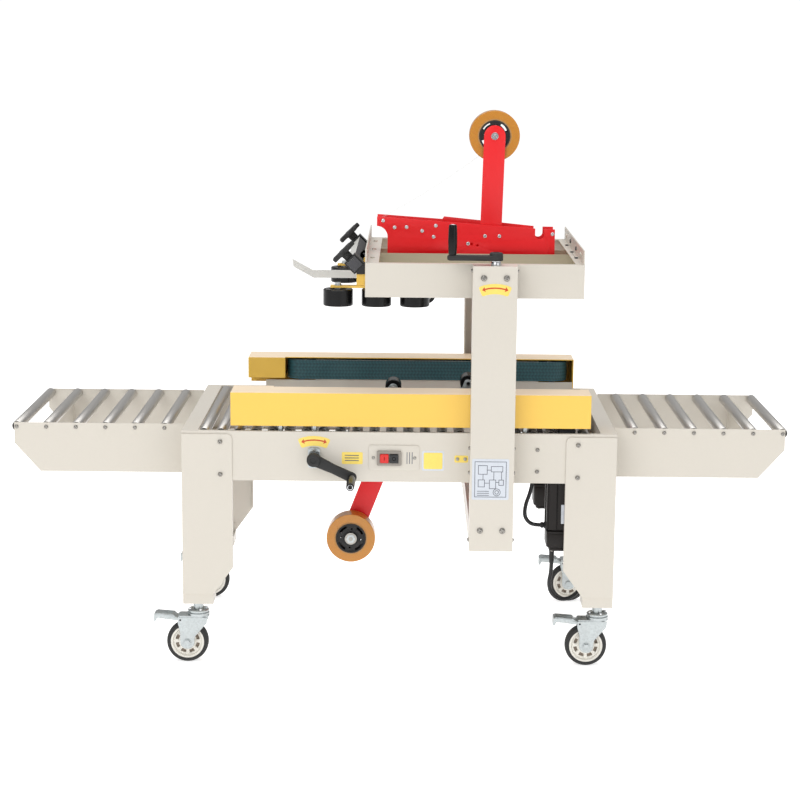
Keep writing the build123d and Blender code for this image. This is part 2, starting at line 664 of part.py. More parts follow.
# ---------------------------------------------------------------- head
def head_frame():
    """Head: sheet ring, cartridge rails, slide shoes in the columns, press bar and flap guide."""
    length = (HEAD_INFEED_X, HEAD_OUTFEED_X)
    inside = (HEAD_INFEED_X + SHEET, HEAD_OUTFEED_X - SHEET)
    side = box(length, (HEAD_INNER, HEAD_OUTER), (HEAD_BOTTOM, HEAD_TOP))
    lip = box(
        (HEAD_INFEED_X + HEAD_INFEED_FLANGE, HEAD_OUTFEED_X - HEAD_OUTFEED_FLANGE),
        (HEAD_INNER - HEAD_TOP_LIP, HEAD_INNER),
        (HEAD_TOP - SHEET, HEAD_TOP),
    )
    across = (-HEAD_INNER, HEAD_INNER)
    upstand_top = HEAD_TOP + HEAD_UPSTAND
    infeed_end = box(
        (HEAD_INFEED_X, HEAD_INFEED_X + SHEET), across, (HEAD_BOTTOM + HEAD_END_CLEARANCE, upstand_top)
    )
    outfeed_end = box((HEAD_OUTFEED_X - SHEET, HEAD_OUTFEED_X), across, (HEAD_BOTTOM, upstand_top))
    flange_z = (HEAD_TOP - SHEET, HEAD_TOP)
    infeed_flange = box((inside[0], HEAD_INFEED_X + HEAD_INFEED_FLANGE), across, flange_z)
    outfeed_flange = box((HEAD_OUTFEED_X - HEAD_OUTFEED_FLANGE, inside[1]), across, flange_z)
    rail = box(inside, (RAIL_FACE, RAIL_FACE + SHEET), (RAIL_BOTTOM, HEAD_TOP - SHEET))
    return (
        on_both_sides([side, lip, rail] + slide_shoe())
        + [infeed_end, outfeed_end, infeed_flange, outfeed_flange]
        + press_bar()
        + head_screws()
    )


def slide_shoe():
    """Shoe in the rear column on its screw, and the neck that joins it to the head."""
    top = HEAD_TOP - 16.0
    reach = COLUMN_WIDTH / 2 - SHEET - SLIDER_CLEARANCE
    y = (HALF_WIDTH + 2.0, COLUMN_OUTER - SHEET - SLIDER_CLEARANCE)
    shoe = box((COLUMN_X - reach, COLUMN_X + reach), y, (top - SLIDER_HEIGHT, top))
    shoe -= rod_z(COLUMN_X, SCREW_Y, SCREW_RADIUS + RUNNING, top - SLIDER_HEIGHT, top)
    middle = top - SLIDER_HEIGHT / 2
    neck = box(
        (COLUMN_X - BRACKET_WIDTH / 2, COLUMN_X + BRACKET_WIDTH / 2),
        (HEAD_OUTER, y[0]),
        (middle - BRACKET_HEIGHT / 2, middle + BRACKET_HEIGHT / 2),
    )
    return [shoe, neck]


FLAP_GUIDE_TOP = 914.0
FLAP_GUIDE_BOTTOM = 895.0


def press_bar():
    """Square bar on edge at the infeed end, its stays and the carton flap guide below it."""
    bar = diamond(PRESS_BAR_X, PRESS_BAR_Z, PRESS_BAR_HALF_DIAGONAL, -PRESS_BAR_REACH, PRESS_BAR_REACH)
    solid_reach = PRESS_BAR_STAY * 2
    solid_bar = diamond(PRESS_BAR_X, PRESS_BAR_Z, PRESS_BAR_HALF_DIAGONAL, -solid_reach, solid_reach)
    stay = box(
        (PRESS_BAR_X, HEAD_INFEED_X),
        (PRESS_BAR_STAY - 10.0, PRESS_BAR_STAY + 10.0),
        (PRESS_BAR_Z - 4.0, PRESS_BAR_Z + 4.0),
    )
    stay -= solid_bar
    outline = [
        (PRESS_BAR_X + 8.0, FLAP_GUIDE_BOTTOM),
        (PRESS_BAR_X + 8.0, PRESS_BAR_Z - 10.0),
        (PRESS_BAR_X - 10.0, PRESS_BAR_Z - 10.0),
        (PRESS_BAR_X - 10.0, FLAP_GUIDE_TOP),
        (PRESS_BAR_X - 110.0, FLAP_GUIDE_TOP),
        (PRESS_BAR_X - 160.0, FLAP_GUIDE_TOP + 27.0),
        (PRESS_BAR_X - 157.0, FLAP_GUIDE_BOTTOM + 27.0),
        (PRESS_BAR_X - 108.0, FLAP_GUIDE_BOTTOM),
    ]
    guide = plate(outline, -SHEET, SHEET) - solid_bar
    return [bar, guide] + on_both_sides([stay])


def head_screws():
    """Button-head screws on the end flanges and on the outfeed upstand."""
    radius = 5.0
    tall = 3.0
    infeed_x = HEAD_INFEED_X + HEAD_INFEED_FLANGE / 2
    outfeed_x = HEAD_OUTFEED_X - HEAD_OUTFEED_FLANGE / 2
    screws = [rod_z(infeed_x, y, radius, HEAD_TOP, HEAD_TOP + tall) for y in (-190.0, 0.0, 190.0)]
    screws += [rod_z(outfeed_x, y, radius, HEAD_TOP, HEAD_TOP + tall) for y in (-160.0, -30.0, 130.0)]
    face = HEAD_OUTFEED_X - SHEET
    middle = HEAD_TOP + HEAD_UPSTAND / 2
    screws += [rod_x(y, middle, radius, face - tall, face) for y in (-216.0, -87.0, 87.0, 216.0)]
    return screws


# ---------------------------------------------------------------- press assemblies
CLAMP_AXIS = 45.0
ARM_TOP = PRESS_ROLLER_BOTTOM + PRESS_ROLLER_HEIGHT + 3.0 + PRESS_ARM_GAUGE
WEB_RIGHT = PRESS_BAR_X + CLAMP_HALF_DIAGONAL
CLAMP_FOOT = 933.0


def on_press_bar(shape):
    """Places a shape drawn along +Z so that it leaves the bar towards the infeed and up."""
    return Pos(PRESS_BAR_X, PRESS_TRACK, PRESS_BAR_Z) * Rot(0, -CLAMP_AXIS, 0) * shape


def press_arm():
    """Clamp on the press bar, its web and the long arm above the press rollers."""
    near = PRESS_TRACK - CLAMP_LENGTH / 2
    far = PRESS_TRACK + CLAMP_LENGTH / 2
    clamp = diamond(PRESS_BAR_X, PRESS_BAR_Z, CLAMP_HALF_DIAGONAL, near, far)
    web_left = WEB_RIGHT - WEB_WIDTH
    clamp += box((web_left, WEB_RIGHT), (near, far), (CLAMP_FOOT, PRESS_BAR_Z))
    clamp -= diamond(PRESS_BAR_X, PRESS_BAR_Z, PRESS_BAR_HALF_DIAGONAL + 2 * FACE_GAP, near, far)
    clamp -= on_press_bar(rod_z(0, 0, KNOB_STEM_RADIUS + RUNNING, 0, CLAMP_HALF_DIAGONAL))
    web = box((web_left, WEB_RIGHT), (near + 5.0, far - 5.0), (ARM_TOP, CLAMP_FOOT))
    last = PRESS_FIRST_ROLLER_X + 2 * PRESS_ROLLER_PITCH
    half = PRESS_ARM_WIDTH / 2
    arm = box(
        (PRESS_FIRST_ROLLER_X - 18.0, last + 18.0),
        (PRESS_TRACK - half, PRESS_TRACK + half),
        (ARM_TOP - PRESS_ARM_GAUGE, ARM_TOP),
    )
    return [clamp, web, arm]


def press_rollers():
    """Three upright rollers with their bolts, hung under the press arm."""
    top = PRESS_ROLLER_BOTTOM + PRESS_ROLLER_HEIGHT
    pieces = []
    for k in range(3):
        x = PRESS_FIRST_ROLLER_X + PRESS_ROLLER_PITCH * k
        roller = rod_z(x, PRESS_TRACK, PRESS_ROLLER_RADIUS, PRESS_ROLLER_BOTTOM, top)
        washer = rod_z(x, PRESS_TRACK, 9.0, top, ARM_TOP - PRESS_ARM_GAUGE)
        head = rod_z(x, PRESS_TRACK, 7.0, ARM_TOP, ARM_TOP + 7.0)
        pieces += [roller, washer, head]
    return pieces


def press_knob():
    """Star knob that clamps the press arm to its bar, drawn as a plain disc on its stem."""
    wall_outer = CLAMP_HALF_DIAGONAL / math.sqrt(2)
    bar_face = PRESS_BAR_HALF_DIAGONAL / math.sqrt(2)
    hub_start = wall_outer + FACE_GAP
    disc_start = hub_start + KNOB_HUB_LENGTH
    knob = rod_z(0, 0, KNOB_STEM_RADIUS, bar_face + FACE_GAP, hub_start)
    knob += rod_z(0, 0, KNOB_HUB_RADIUS, hub_start, disc_start)
    knob += rod_z(0, 0, KNOB_RADIUS, disc_start, disc_start + KNOB_THICKNESS)
    return [on_press_bar(knob)]


# ---------------------------------------------------------------- tape cartridges
def tape_roll(centre):
    """Roll of tape on its hub, which turns on the fixed shaft."""
    hub = rod_y(*centre, CORE_RADIUS, -HUB_HALF_LENGTH, HUB_HALF_LENGTH)
    hub -= rod_y(*centre, ROLL_SHAFT_RADIUS + RUNNING, -HUB_HALF_LENGTH, HUB_HALF_LENGTH)
    half = TAPE_WIDTH / 2
    tape = rod_y(*centre, TAPE_RADIUS, -half, half) - rod_y(*centre, CORE_RADIUS, -half, half)
    return [hub, tape]


def roll_holder(centre, foot, side):
    """Arm that carries a tape roll, with its shaft and nut; side is the Y sign of the arm."""
    inner = side * (PLATE_FACE - SHEET)
    outer = side * PLATE_FACE
    arm = link(centre, foot, ROLL_ARM_WIDTH / 2, inner, outer)
    shaft = rod_y(*centre, ROLL_SHAFT_RADIUS, inner, -side * (HUB_HALF_LENGTH + 2.0))
    end = -side * (HUB_HALF_LENGTH + 2.0)
    cap = rod_y(*centre, ROLL_SHAFT_RADIUS + 4.0, end, end - side * 5.0)
    nut = rod_y(*centre, 9.0, outer, outer + side * 7.0)
    return [arm, shaft, cap, nut]


def nip_arm(pivot, roller):
    """Swinging arm with the roller that presses the tape on; two cheeks, roller and shaft."""
    cheek = link(pivot, roller, 11.0, NIP_HALF_LENGTH + 1.0, NIP_HALF_LENGTH + 3.5)
    cheek -= rod_y(*pivot, PIVOT_RADIUS + RUNNING, NIP_HALF_LENGTH, NIP_HALF_LENGTH + 4.0)
    cheek -= rod_y(*roller, AXLE_RADIUS, NIP_HALF_LENGTH, NIP_HALF_LENGTH + 4.0)
    shaft = rod_y(*roller, AXLE_RADIUS, -NIP_HALF_LENGTH - 3.5, NIP_HALF_LENGTH + 3.5)
    rubber = rod_y(*roller, NIP_RADIUS, -NIP_HALF_LENGTH, NIP_HALF_LENGTH)
    rubber -= rod_y(*roller, AXLE_RADIUS, -NIP_HALF_LENGTH, NIP_HALF_LENGTH)
    return on_both_sides([cheek]) + [shaft, rubber]


def wipe_roller(centre, seat):
    """Second roller of a cartridge on its fixed bracket."""
    bracket = link(centre, seat, 11.0, PLATE_FACE - SHEET, PLATE_FACE)
    bracket -= rod_y(*centre, AXLE_RADIUS, PLATE_FACE - SHEET, PLATE_FACE)
    shaft = rod_y(*centre, AXLE_RADIUS, -PLATE_FACE, PLATE_FACE)
    rubber = rod_y(*centre, NIP_RADIUS, -NIP_HALF_LENGTH, NIP_HALF_LENGTH)
    rubber -= rod_y(*centre, AXLE_RADIUS, -NIP_HALF_LENGTH, NIP_HALF_LENGTH)
    return on_both_sides([bracket]) + [shaft, rubber]


def cross_bars(places, radius=AXLE_RADIUS):
    """Round spacers between the two side plates of a cartridge."""
    return [rod_y(x, z, radius, -PLATE_FACE, PLATE_FACE) for x, z in places]


def hanger_pins(places, reach):
    """Pins that carry a cartridge on the rails beside it."""
    return on_both_sides([rod_y(x, z, PIVOT_RADIUS, CARTRIDGE_HALF_WIDTH, reach) for x, z in places])


UPPER_NIP = (UPPER_PIVOT[0] + NIP_ARM_X, UPPER_PIVOT[1] - NIP_ARM_Z)
LOWER_NIP = (LOWER_PIVOT[0] + NIP_ARM_X, LOWER_PIVOT[1] + NIP_ARM_Z)
UPPER_WIPE = (UPPER_NIP[0] + NIP_SPACING, UPPER_NIP[1] + 13.0)
LOWER_WIPE = (LOWER_NIP[0] + NIP_SPACING, LOWER_NIP[1] + 13.0)
CARTRIDGE_LEFT = -60.0
CARTRIDGE_RIGHT = 373.0
CARTRIDGE_BOTTOM = 905.0
LUG_TOP = 1050.0
LUG_BOTTOM = 1027.0
CARTRIDGE_WAIST_X = -34.0
HOOK_X = (325.0, 347.0)
HOOK_BOTTOM = 998.0


def upper_cartridge_frame():
    """Upper tape cartridge: side plates, spacers, knife holder and the mast of the tape roll."""
    right_top = 1021.0
    outline = [
        (CARTRIDGE_WAIST_X, CARTRIDGE_BOTTOM),
        (CARTRIDGE_RIGHT, CARTRIDGE_BOTTOM),
        (CARTRIDGE_RIGHT, right_top),
        (CARTRIDGE_LEFT, LUG_TOP),
        (CARTRIDGE_LEFT, LUG_BOTTOM),
        (CARTRIDGE_WAIST_X, LUG_BOTTOM),
    ]
    side = plate(outline, PLATE_FACE, CARTRIDGE_HALF_WIDTH)
    scoop = CARTRIDGE_WAIST_X - CARTRIDGE_LEFT
    thickness = (PLATE_FACE, CARTRIDGE_HALF_WIDTH)
    corner = box((CARTRIDGE_LEFT, CARTRIDGE_WAIST_X), thickness, (LUG_BOTTOM - scoop, LUG_BOTTOM))
    side += corner - rod_y(CARTRIDGE_LEFT, LUG_BOTTOM - scoop, scoop, *thickness)
    hook_middle = sum(HOOK_X) / 2
    hook_radius = (HOOK_X[1] - HOOK_X[0]) / 2
    side -= box(HOOK_X, (PLATE_FACE, CARTRIDGE_HALF_WIDTH), (HOOK_BOTTOM + hook_radius, LUG_TOP))
    side -= rod_y(hook_middle, HOOK_BOTTOM + hook_radius, hook_radius, PLATE_FACE, CARTRIDGE_HALF_WIDTH)
    spacers = cross_bars([(-48.0, 1038.0), (-15.0, 1020.0), (60.0, 1000.0), (150.0, 985.0), (300.0, 975.0)])
    spacers += cross_bars([(355.0, 1000.0)])
    pivot = cross_bars([UPPER_PIVOT], PIVOT_RADIUS)
    knife = box((155.0, 185.0), (-PLATE_FACE, PLATE_FACE), (CARTRIDGE_BOTTOM, 935.0))
    holder = roll_holder(UPPER_ROLL, (216.0, 975.0), -1)
    wiper = wipe_roller(UPPER_WIPE, (UPPER_WIPE[0] - 35.0, UPPER_WIPE[1] + 65.0))
    pins = hanger_pins([(0.0 - 20.0, 935.0), (335.0, 935.0)], RAIL_FACE)
    return on_both_sides([side]) + spacers + pivot + [knife] + holder + wiper + pins


def lower_cartridge_frame():
    """Lower tape cartridge in the bed: side plates, spacers, knife holder and roll arm."""
    left = -95.0
    right = 225.0
    bottom = 430.0
    top = 560.0
    side = box((left, right), (PLATE_FACE, CARTRIDGE_HALF_WIDTH), (bottom, top))
    spacers = cross_bars([(-60.0, 480.0), (60.0, 450.0), (205.0, 450.0), (205.0, 545.0)])
    pivot = cross_bars([LOWER_PIVOT], PIVOT_RADIUS)
    knife = box((80.0, 110.0), (-PLATE_FACE, PLATE_FACE), (500.0, 530.0))
    holder = roll_holder(LOWER_ROLL, (-40.0, 440.0 + 10.0), 1)
    wiper = wipe_roller(LOWER_WIPE, (LOWER_WIPE[0] - 35.0, LOWER_WIPE[1] - 100.0))
    pins = hanger_pins([(left + 20.0, 520.0), (right - 20.0, 520.0)], RAIL_INNER)
    return on_both_sides([side]) + spacers + pivot + [knife] + holder + wiper + pins


# ---------------------------------------------------------------- drive units
def drive_cover():
    """Sheet cover of the rear drive unit with the box nose at its infeed end."""
    length = (UNIT_INFEED_X, UNIT_OUTFEED_X)
    nose_end = UNIT_INFEED_X + NOSE_LENGTH
    nose_inner = UNIT_INNER - NOSE_STEP
    inner_skin = UNIT_OUTER - SHEET
    under_top = UNIT_TOP - SHEET
    outer = box(length, (inner_skin, UNIT_OUTER), (UNIT_BOTTOM, UNIT_TOP))
    top = box((nose_end, UNIT_OUTFEED_X), (UNIT_INNER, inner_skin), (under_top, UNIT_TOP))
    nose_top = box((UNIT_INFEED_X, nose_end), (nose_inner, inner_skin), (under_top, UNIT_TOP))
    nose_side = box((UNIT_INFEED_X, nose_end), (nose_inner, nose_inner + SHEET), (NOSE_BOTTOM, under_top))
    nose_floor = box(
        (UNIT_INFEED_X, nose_end), (nose_inner + SHEET, inner_skin), (NOSE_BOTTOM, NOSE_BOTTOM + SHEET)
    )
    nose_front = box(
        (UNIT_INFEED_X, UNIT_INFEED_X + SHEET),
        (nose_inner + SHEET, inner_skin),
        (NOSE_BOTTOM + SHEET, under_top),
    )
    end = box(
        (UNIT_OUTFEED_X - SHEET, UNIT_OUTFEED_X), (UNIT_INNER, inner_skin), (UNIT_BOTTOM + SHEET, under_top)
    )
    return [outer, top, nose_top, nose_side, nose_floor, nose_front, end]


def pulley(x):
    """Belt pulley on its upright shaft."""
    low = UNIT_BOTTOM + SHEET
    wheel = rod_z(x, PULLEY_Y, PULLEY_RADIUS, BELT_BOTTOM, BELT_BOTTOM + BELT_HEIGHT)
    shaft = rod_z(x, PULLEY_Y, PULLEY_SHAFT_RADIUS, low, BELT_BOTTOM)
    return [wheel, shaft]


def drive_base():
    """Base channel of the rear drive unit, its pulleys, belt backing and the three carriages."""
    length = (UNIT_INFEED_X + BASE_SETBACK, UNIT_OUTFEED_X - SHEET)
    floor = box(length, (UNIT_INNER, UNIT_OUTER - SHEET), (UNIT_BOTTOM, UNIT_BOTTOM + SHEET))
    lip = box(length, (UNIT_INNER, UNIT_INNER + SHEET), (UNIT_BOTTOM + SHEET, UNIT_BOTTOM + BASE_LIP))
    back_start = BELT_FACE + BELT_THICKNESS + 0.5
    backing = box(
        (INFEED_PULLEY_X + PULLEY_RADIUS + 5.0, MOTOR_X - PULLEY_RADIUS - 5.0),
        (back_start, back_start + SHEET),
        (UNIT_BOTTOM + BASE_LIP, BELT_BOTTOM + BELT_HEIGHT),
    )
    pieces = [floor, lip, backing] + pulley(INFEED_PULLEY_X) + pulley(MOTOR_X)
    for x in GUIDE_RODS_X:
        pieces += carriage(x, GUIDE_ROD_Z, GUIDE_ROD_RADIUS, 14.0)
    pieces += carriage(WIDTH_SCREW_X, WIDTH_SCREW_Z, SCREW_RADIUS, NUT_RADIUS)
    return pieces


def carriage(x, z, bore_radius, boss_radius):
    """Plate that hangs between two bed rollers and rides on a cross rod or on the width screw."""
    half = CARRIAGE_WIDTH / 2
    y = (MOTOR_Y + 20.0 - half, MOTOR_Y + 20.0 + half)
    thick = CARRIAGE_THICKNESS / 2
    hanger = box((x - thick, x + thick), y, (CARRIAGE_BOTTOM, UNIT_BOTTOM))
    middle = (y[0] + y[1]) / 2
    hanger += rod_y(x, z, boss_radius, middle - NUT_LENGTH / 2, middle + NUT_LENGTH / 2)
    hanger -= rod_y(x, z, bore_radius + RUNNING, y[0], y[1])
    return [hanger]


def drive_belt():
    """Flat side belt about the two pulleys."""
    def band(radius):
        loop = Rectangle(MOTOR_X - INFEED_PULLEY_X, 2 * radius)
        for x in (INFEED_PULLEY_X, MOTOR_X):
            loop += Pos(x - (INFEED_PULLEY_X + MOTOR_X) / 2, 0) * Circle(radius)
        return loop

    ring = band(PULLEY_RADIUS + BELT_THICKNESS) - band(PULLEY_RADIUS)
    place = Pos((INFEED_PULLEY_X + MOTOR_X) / 2, PULLEY_Y, BELT_BOTTOM)
    return [place * extrude(ring, amount=BELT_HEIGHT)]


def drive_motor():
    """Gear motor under the rear drive unit; its neck passes between two bed rollers."""
    half = MOTOR_SIZE / 2
    top = ROLLER_UNDERSIDE - MOTOR_TOP_GAP
    body = box((MOTOR_X - half, MOTOR_X + half), (MOTOR_Y - half, MOTOR_Y + half), (MOTOR_BOTTOM, top))
    reach = MOTOR_NECK / 2
    neck = box((MOTOR_X - reach, MOTOR_X + reach), (MOTOR_Y - reach, MOTOR_Y + reach), (top, UNIT_BOTTOM))
    side_gland = rod_x(MOTOR_Y, SIDE_GLAND_Z, GLAND_RADIUS, MOTOR_X - half - GLAND_LENGTH, MOTOR_X - half)
    bottom_gland = rod_z(BOTTOM_GLAND_X, MOTOR_Y, GLAND_RADIUS, MOTOR_BOTTOM - GLAND_LENGTH, MOTOR_BOTTOM)
    return [body, neck, side_gland, bottom_gland]


SIDE_GLAND_Z = 337.0
BOTTOM_GLAND_X = 367.0


def width_crank():
    """Screw across the bed that moves both drive units, with its crank at the front."""
    front = -(HALF_WIDTH + CRANK_BEARING_DEPTH + FACE_GAP)
    hub_length = 14.0
    screw = rod_y(WIDTH_SCREW_X, WIDTH_SCREW_Z, SCREW_RADIUS, front - hub_length, HALF_WIDTH)
    hub = rod_y(WIDTH_SCREW_X, WIDTH_SCREW_Z, CRANK_COLLAR_RADIUS, front - hub_length, front)
    hub -= rod_y(WIDTH_SCREW_X, WIDTH_SCREW_Z, SCREW_RADIUS, front - hub_length, front)
    place = Pos(WIDTH_SCREW_X, front - hub_length, WIDTH_SCREW_Z) * Rot(90, 0, 0)
    place = place * Rot(0, 0, WIDTH_CRANK_ANGLE)
    return [screw, hub] + [place * piece for piece in crank(WIDTH_GRIP_LENGTH)]


# ---------------------------------------------------------------- switch
def switch_plate():
    """Label plate with the bezel of the two push buttons."""
    back = -HALF_WIDTH
    face = back - SWITCH_PLATE
    base = box(SWITCH_X, (face, back), SWITCH_Z)
    bezel = box(BEZEL_X, (face - BEZEL_DEPTH, face), BEZEL_Z)
    for centre in button_places():
        hole = button_block(centre, BUTTON_CLEARANCE, face - BEZEL_DEPTH, back)
        base -= hole
        bezel -= hole
    return [base, bezel]


def button_places():
    """X of the on button and of the off button."""
    middle = sum(BEZEL_X) / 2
    offset = (BUTTON_WIDTH + BUTTON_GAP) / 2
    return middle - offset, middle + offset


def button_block(centre, margin, front, back):
    """Block of a push button, wider by a margin all round."""
    half = BUTTON_WIDTH / 2 + margin
    tall = BUTTON_HEIGHT / 2 + margin
    middle = sum(BEZEL_Z) / 2
    return box((centre - half, centre + half), (front, back), (middle - tall, middle + tall))


def push_button(centre):
    """Push button standing proud of its bezel."""
    front = -HALF_WIDTH - SWITCH_PLATE - BEZEL_DEPTH - BUTTON_PROUD
    return [button_block(centre, 0.0, front, front + BUTTON_DEPTH)]


# ---------------------------------------------------------------- fasteners
LEG_BOLT_RADIUS = 7.0
TABLE_SCREW_RADIUS = 6.0
COLUMN_BOLT_RADIUS = 9.0
SIDE_SCREW_RADIUS = 6.0
JOINT_BOLT_Y = 180.0
LOWER_LEAD_END = (497.0, -MOTOR_Y + 25.0)


def leg_and_table_bolts():
    """Bolt heads of one outfeed leg and of the outfeed table, on the rear side."""
    face = HALF_WIDTH + SHEET
    leg_x = HALF_LENGTH - LEG_WIDTH + 28.0
    leg_z = (BED_TOP - 25.0, BED_BOTTOM + 15.0)
    bolts = [rod_y(leg_x, z, LEG_BOLT_RADIUS, face, face + 5.0) for z in leg_z]
    table_face = TABLE_WIDTH / 2
    for x in table_roller_places():
        bolts.append(rod_y(x, ROLLER_Z, TABLE_SCREW_RADIUS, table_face, table_face + 3.0))
    inner = TABLE_START + SHEET
    for z in (BED_BOTTOM + 25.0, BED_TOP - 40.0):
        bolts.append(rod_x(JOINT_BOLT_Y, z, 9.0, HALF_LENGTH, TABLE_START))
        bolts.append(rod_x(JOINT_BOLT_Y, z, 8.0, inner, inner + 6.0))
    return bolts


def column_bolts():
    """Bolt heads on the faces of the rear column and on the panel beside it."""
    half = COLUMN_WIDTH / 2
    bolts = []
    for x in (COLUMN_X - 26.0, COLUMN_X + 26.0):
        for z in (COLUMN_TOP - 27.0, COLUMN_BOTTOM + 50.0):
            bolts.append(rod_y(x, z, COLUMN_BOLT_RADIUS, COLUMN_OUTER, COLUMN_OUTER + 5.0))
    for x, side in ((COLUMN_X - half, -1), (COLUMN_X + half, 1)):
        for z in (COLUMN_TOP - 13.0, BED_TOP - 30.0, BED_BOTTOM + 30.0, COLUMN_BOTTOM + 22.0):
            bolts.append(rod_x(HALF_WIDTH + 25.0, z, SIDE_SCREW_RADIUS, x, x + side * 4.0))
    for z in (BED_TOP - 38.0, BED_TOP - 90.0):
        bolts.append(rod_y(COLUMN_X + half + 56.5, z, SIDE_SCREW_RADIUS, HALF_WIDTH, HALF_WIDTH + 4.0))
    return bolts


def crank_bearing():
    """Plate on the front panel that carries the width crank."""
    outer = -HALF_WIDTH - CRANK_BEARING_DEPTH
    block = box(
        (WIDTH_SCREW_X - CRANK_BEARING_HALF, WIDTH_SCREW_X + CRANK_BEARING_HALF),
        (outer, -HALF_WIDTH),
        (WIDTH_SCREW_Z - 24.0, WIDTH_SCREW_Z + 24.0),
    )
    return block - rod_y(WIDTH_SCREW_X, WIDTH_SCREW_Z, SCREW_RADIUS + RUNNING, outer, -HALF_WIDTH)


def frame_fasteners():
    """Bolt heads of the frame, the crank bearing, lead glands and caster stems."""
    stems = [caster_stem(x, y) for x in (CASTER_X, -CASTER_X) for y in (CASTER_Y, -CASTER_Y)]
    glands = [
        rod_z(*UPPER_LEAD_START, GLAND_RADIUS, LEAD_BRACKET_Z - GLAND_LENGTH, LEAD_BRACKET_Z),
        rod_z(*LOWER_LEAD_END, GLAND_RADIUS, BED_BOTTOM - GLAND_LENGTH, BED_BOTTOM),
    ]
    ends = on_both_ends(on_both_sides(leg_and_table_bolts()))
    return stems + ends + on_both_sides(column_bolts()) + [crank_bearing()] + glands


# ---------------------------------------------------------------- motor leads
def cord_path(points):
    """Straight runs joined by arcs, each as large as its two runs allow."""
    vectors = [Vector(*point) for point in points]
    radii = []
    for before, here, after in zip(vectors, vectors[1:], vectors[2:]):
        turn = math.radians((here - before).get_angle(after - here))
        run = min((here - before).length, (after - here).length)
        radii.append(0.45 * run / math.tan(turn / 2))
    path = FilletPolyline(*vectors, radius=radii)
    print("cord arcs:", [round(radius) for radius in radii], "length", round(path.length))
    return path


def cord(points):
    """Round cord along a route."""
    path = cord_path(points)
    section = Plane(origin=path @ 0, z_dir=path % 0) * Circle(CORD_RADIUS)
    tube = sweep(section, path=path)
    print("cord volume ratio", round(tube.volume / (math.pi * CORD_RADIUS**2 * path.length), 4))
    return [tube]


UPPER_LEAD = [
    (317.0, -MOTOR_Y - 5.0, 458.0),
    (317.0, -MOTOR_Y - 5.0, 438.0),
    (311.0, -MOTOR_Y - 6.0, 413.0),
    (302.0, -MOTOR_Y - 7.0, 389.0),
    (299.5, -MOTOR_Y - 6.0, 362.0),
    (308.0, -MOTOR_Y - 3.0, 346.0),
    (322.0, -MOTOR_Y, SIDE_GLAND_Z),
    (338.0, -MOTOR_Y, SIDE_GLAND_Z),
]
LOWER_LEAD = [
    (BOTTOM_GLAND_X, -MOTOR_Y, MOTOR_BOTTOM - GLAND_LENGTH),
    (BOTTOM_GLAND_X, -MOTOR_Y, 222.0),
    (361.0, -MOTOR_Y, 194.0),
    (368.0, -MOTOR_Y + 1.0, 167.0),
    (390.0, -MOTOR_Y + 5.0, 151.0),
    (418.0, -MOTOR_Y + 12.0, 154.0),
    (441.0, -MOTOR_Y + 19.0, 176.0),
    (454.0, -MOTOR_Y + 23.0, 212.0),
    (461.0, -MOTOR_Y + 25.0, 255.0),
    (468.0, -MOTOR_Y + 26.0, 302.0),
    (477.0, -MOTOR_Y + 26.0, 350.0),
    (488.0, -MOTOR_Y + 26.0, 394.0),
    (497.0, -MOTOR_Y + 25.0, 421.0),
    (497.0, -MOTOR_Y + 25.0, 440.0),
]


# ---------------------------------------------------------------- nodes
def caster_nodes():
    """Fork, wheel and pedal of the four casters."""
    nodes = {}
    for end, x in (("infeed", -CASTER_X), ("outfeed", CASTER_X)):
        for side, y in (("front", -CASTER_Y), ("rear", CASTER_Y)):
            nodes[f"caster_fork_{end}_{side}"] = caster_fork(x, y)
            nodes[f"caster_wheel_{end}_{side}"] = caster_wheel(x, y)
            nodes[f"caster_pedal_{end}_{side}"] = caster_pedal(x, y)
    return nodes


def table_roller_nodes():
    """Rollers of both tables, counted outwards from the bed."""
    nodes = {}
    for number, x in enumerate(table_roller_places(), start=1):
        nodes[f"infeed_roller_{number}"] = table_roller(-x)
        nodes[f"outfeed_roller_{number}"] = table_roller(x)
    return nodes


def paired_nodes():
    """Nodes of the drive units and press assemblies, at the rear and mirrored to the front."""
    rear = {
        "drive_cover": drive_cover(),
        "drive_base": drive_base(),
        "drive_belt": drive_belt(),
        "drive_motor": drive_motor(),
        "press_arm": press_arm(),
        "press_rollers": press_rollers(),
        "press_knob": press_knob(),
    }
    nodes = {}
    for name, shapes in rear.items():
        nodes[f"{name}_rear"] = shapes
        nodes[f"{name}_front"] = rear_to_front(shapes)
    return nodes


def all_nodes():
    """Every node of the machine with its solids."""
    on_button, off_button = button_places()
    nodes = {
        "bed_frame": bed_frame(),
        "bed_rollers_and_rods": bed_rollers_and_rods(),
        "legs": legs(),
        "columns": columns(),
        "lift_chain": lift_chain(),
        "table_frames": table_frames(),
        "switch_plate": switch_plate(),
        "frame_fasteners": frame_fasteners(),
        "lower_cartridge_frame": lower_cartridge_frame(),
        "motor_lead_upper": cord(UPPER_LEAD),
        "motor_lead_lower": cord(LOWER_LEAD),
        "width_crank": width_crank(),
        "lift_crank": lift_crank(),
        "lift_screw_rear": lift_screw(SCREW_Y, COLUMN_TOP),
        "head_frame": head_frame(),
        "upper_cartridge_frame": upper_cartridge_frame(),
        "upper_tape_roll": tape_roll(UPPER_ROLL),
        "lower_tape_roll": tape_roll(LOWER_ROLL),
        "upper_nip_arm": nip_arm(UPPER_PIVOT, UPPER_NIP),
        "lower_nip_arm": nip_arm(LOWER_PIVOT, LOWER_NIP),
        "power_on_button": push_button(on_button),
        "power_off_button": push_button(off_button),
    }
    nodes.update(caster_nodes())
    nodes.update(table_roller_nodes())
    nodes.update(paired_nodes())
    return nodes


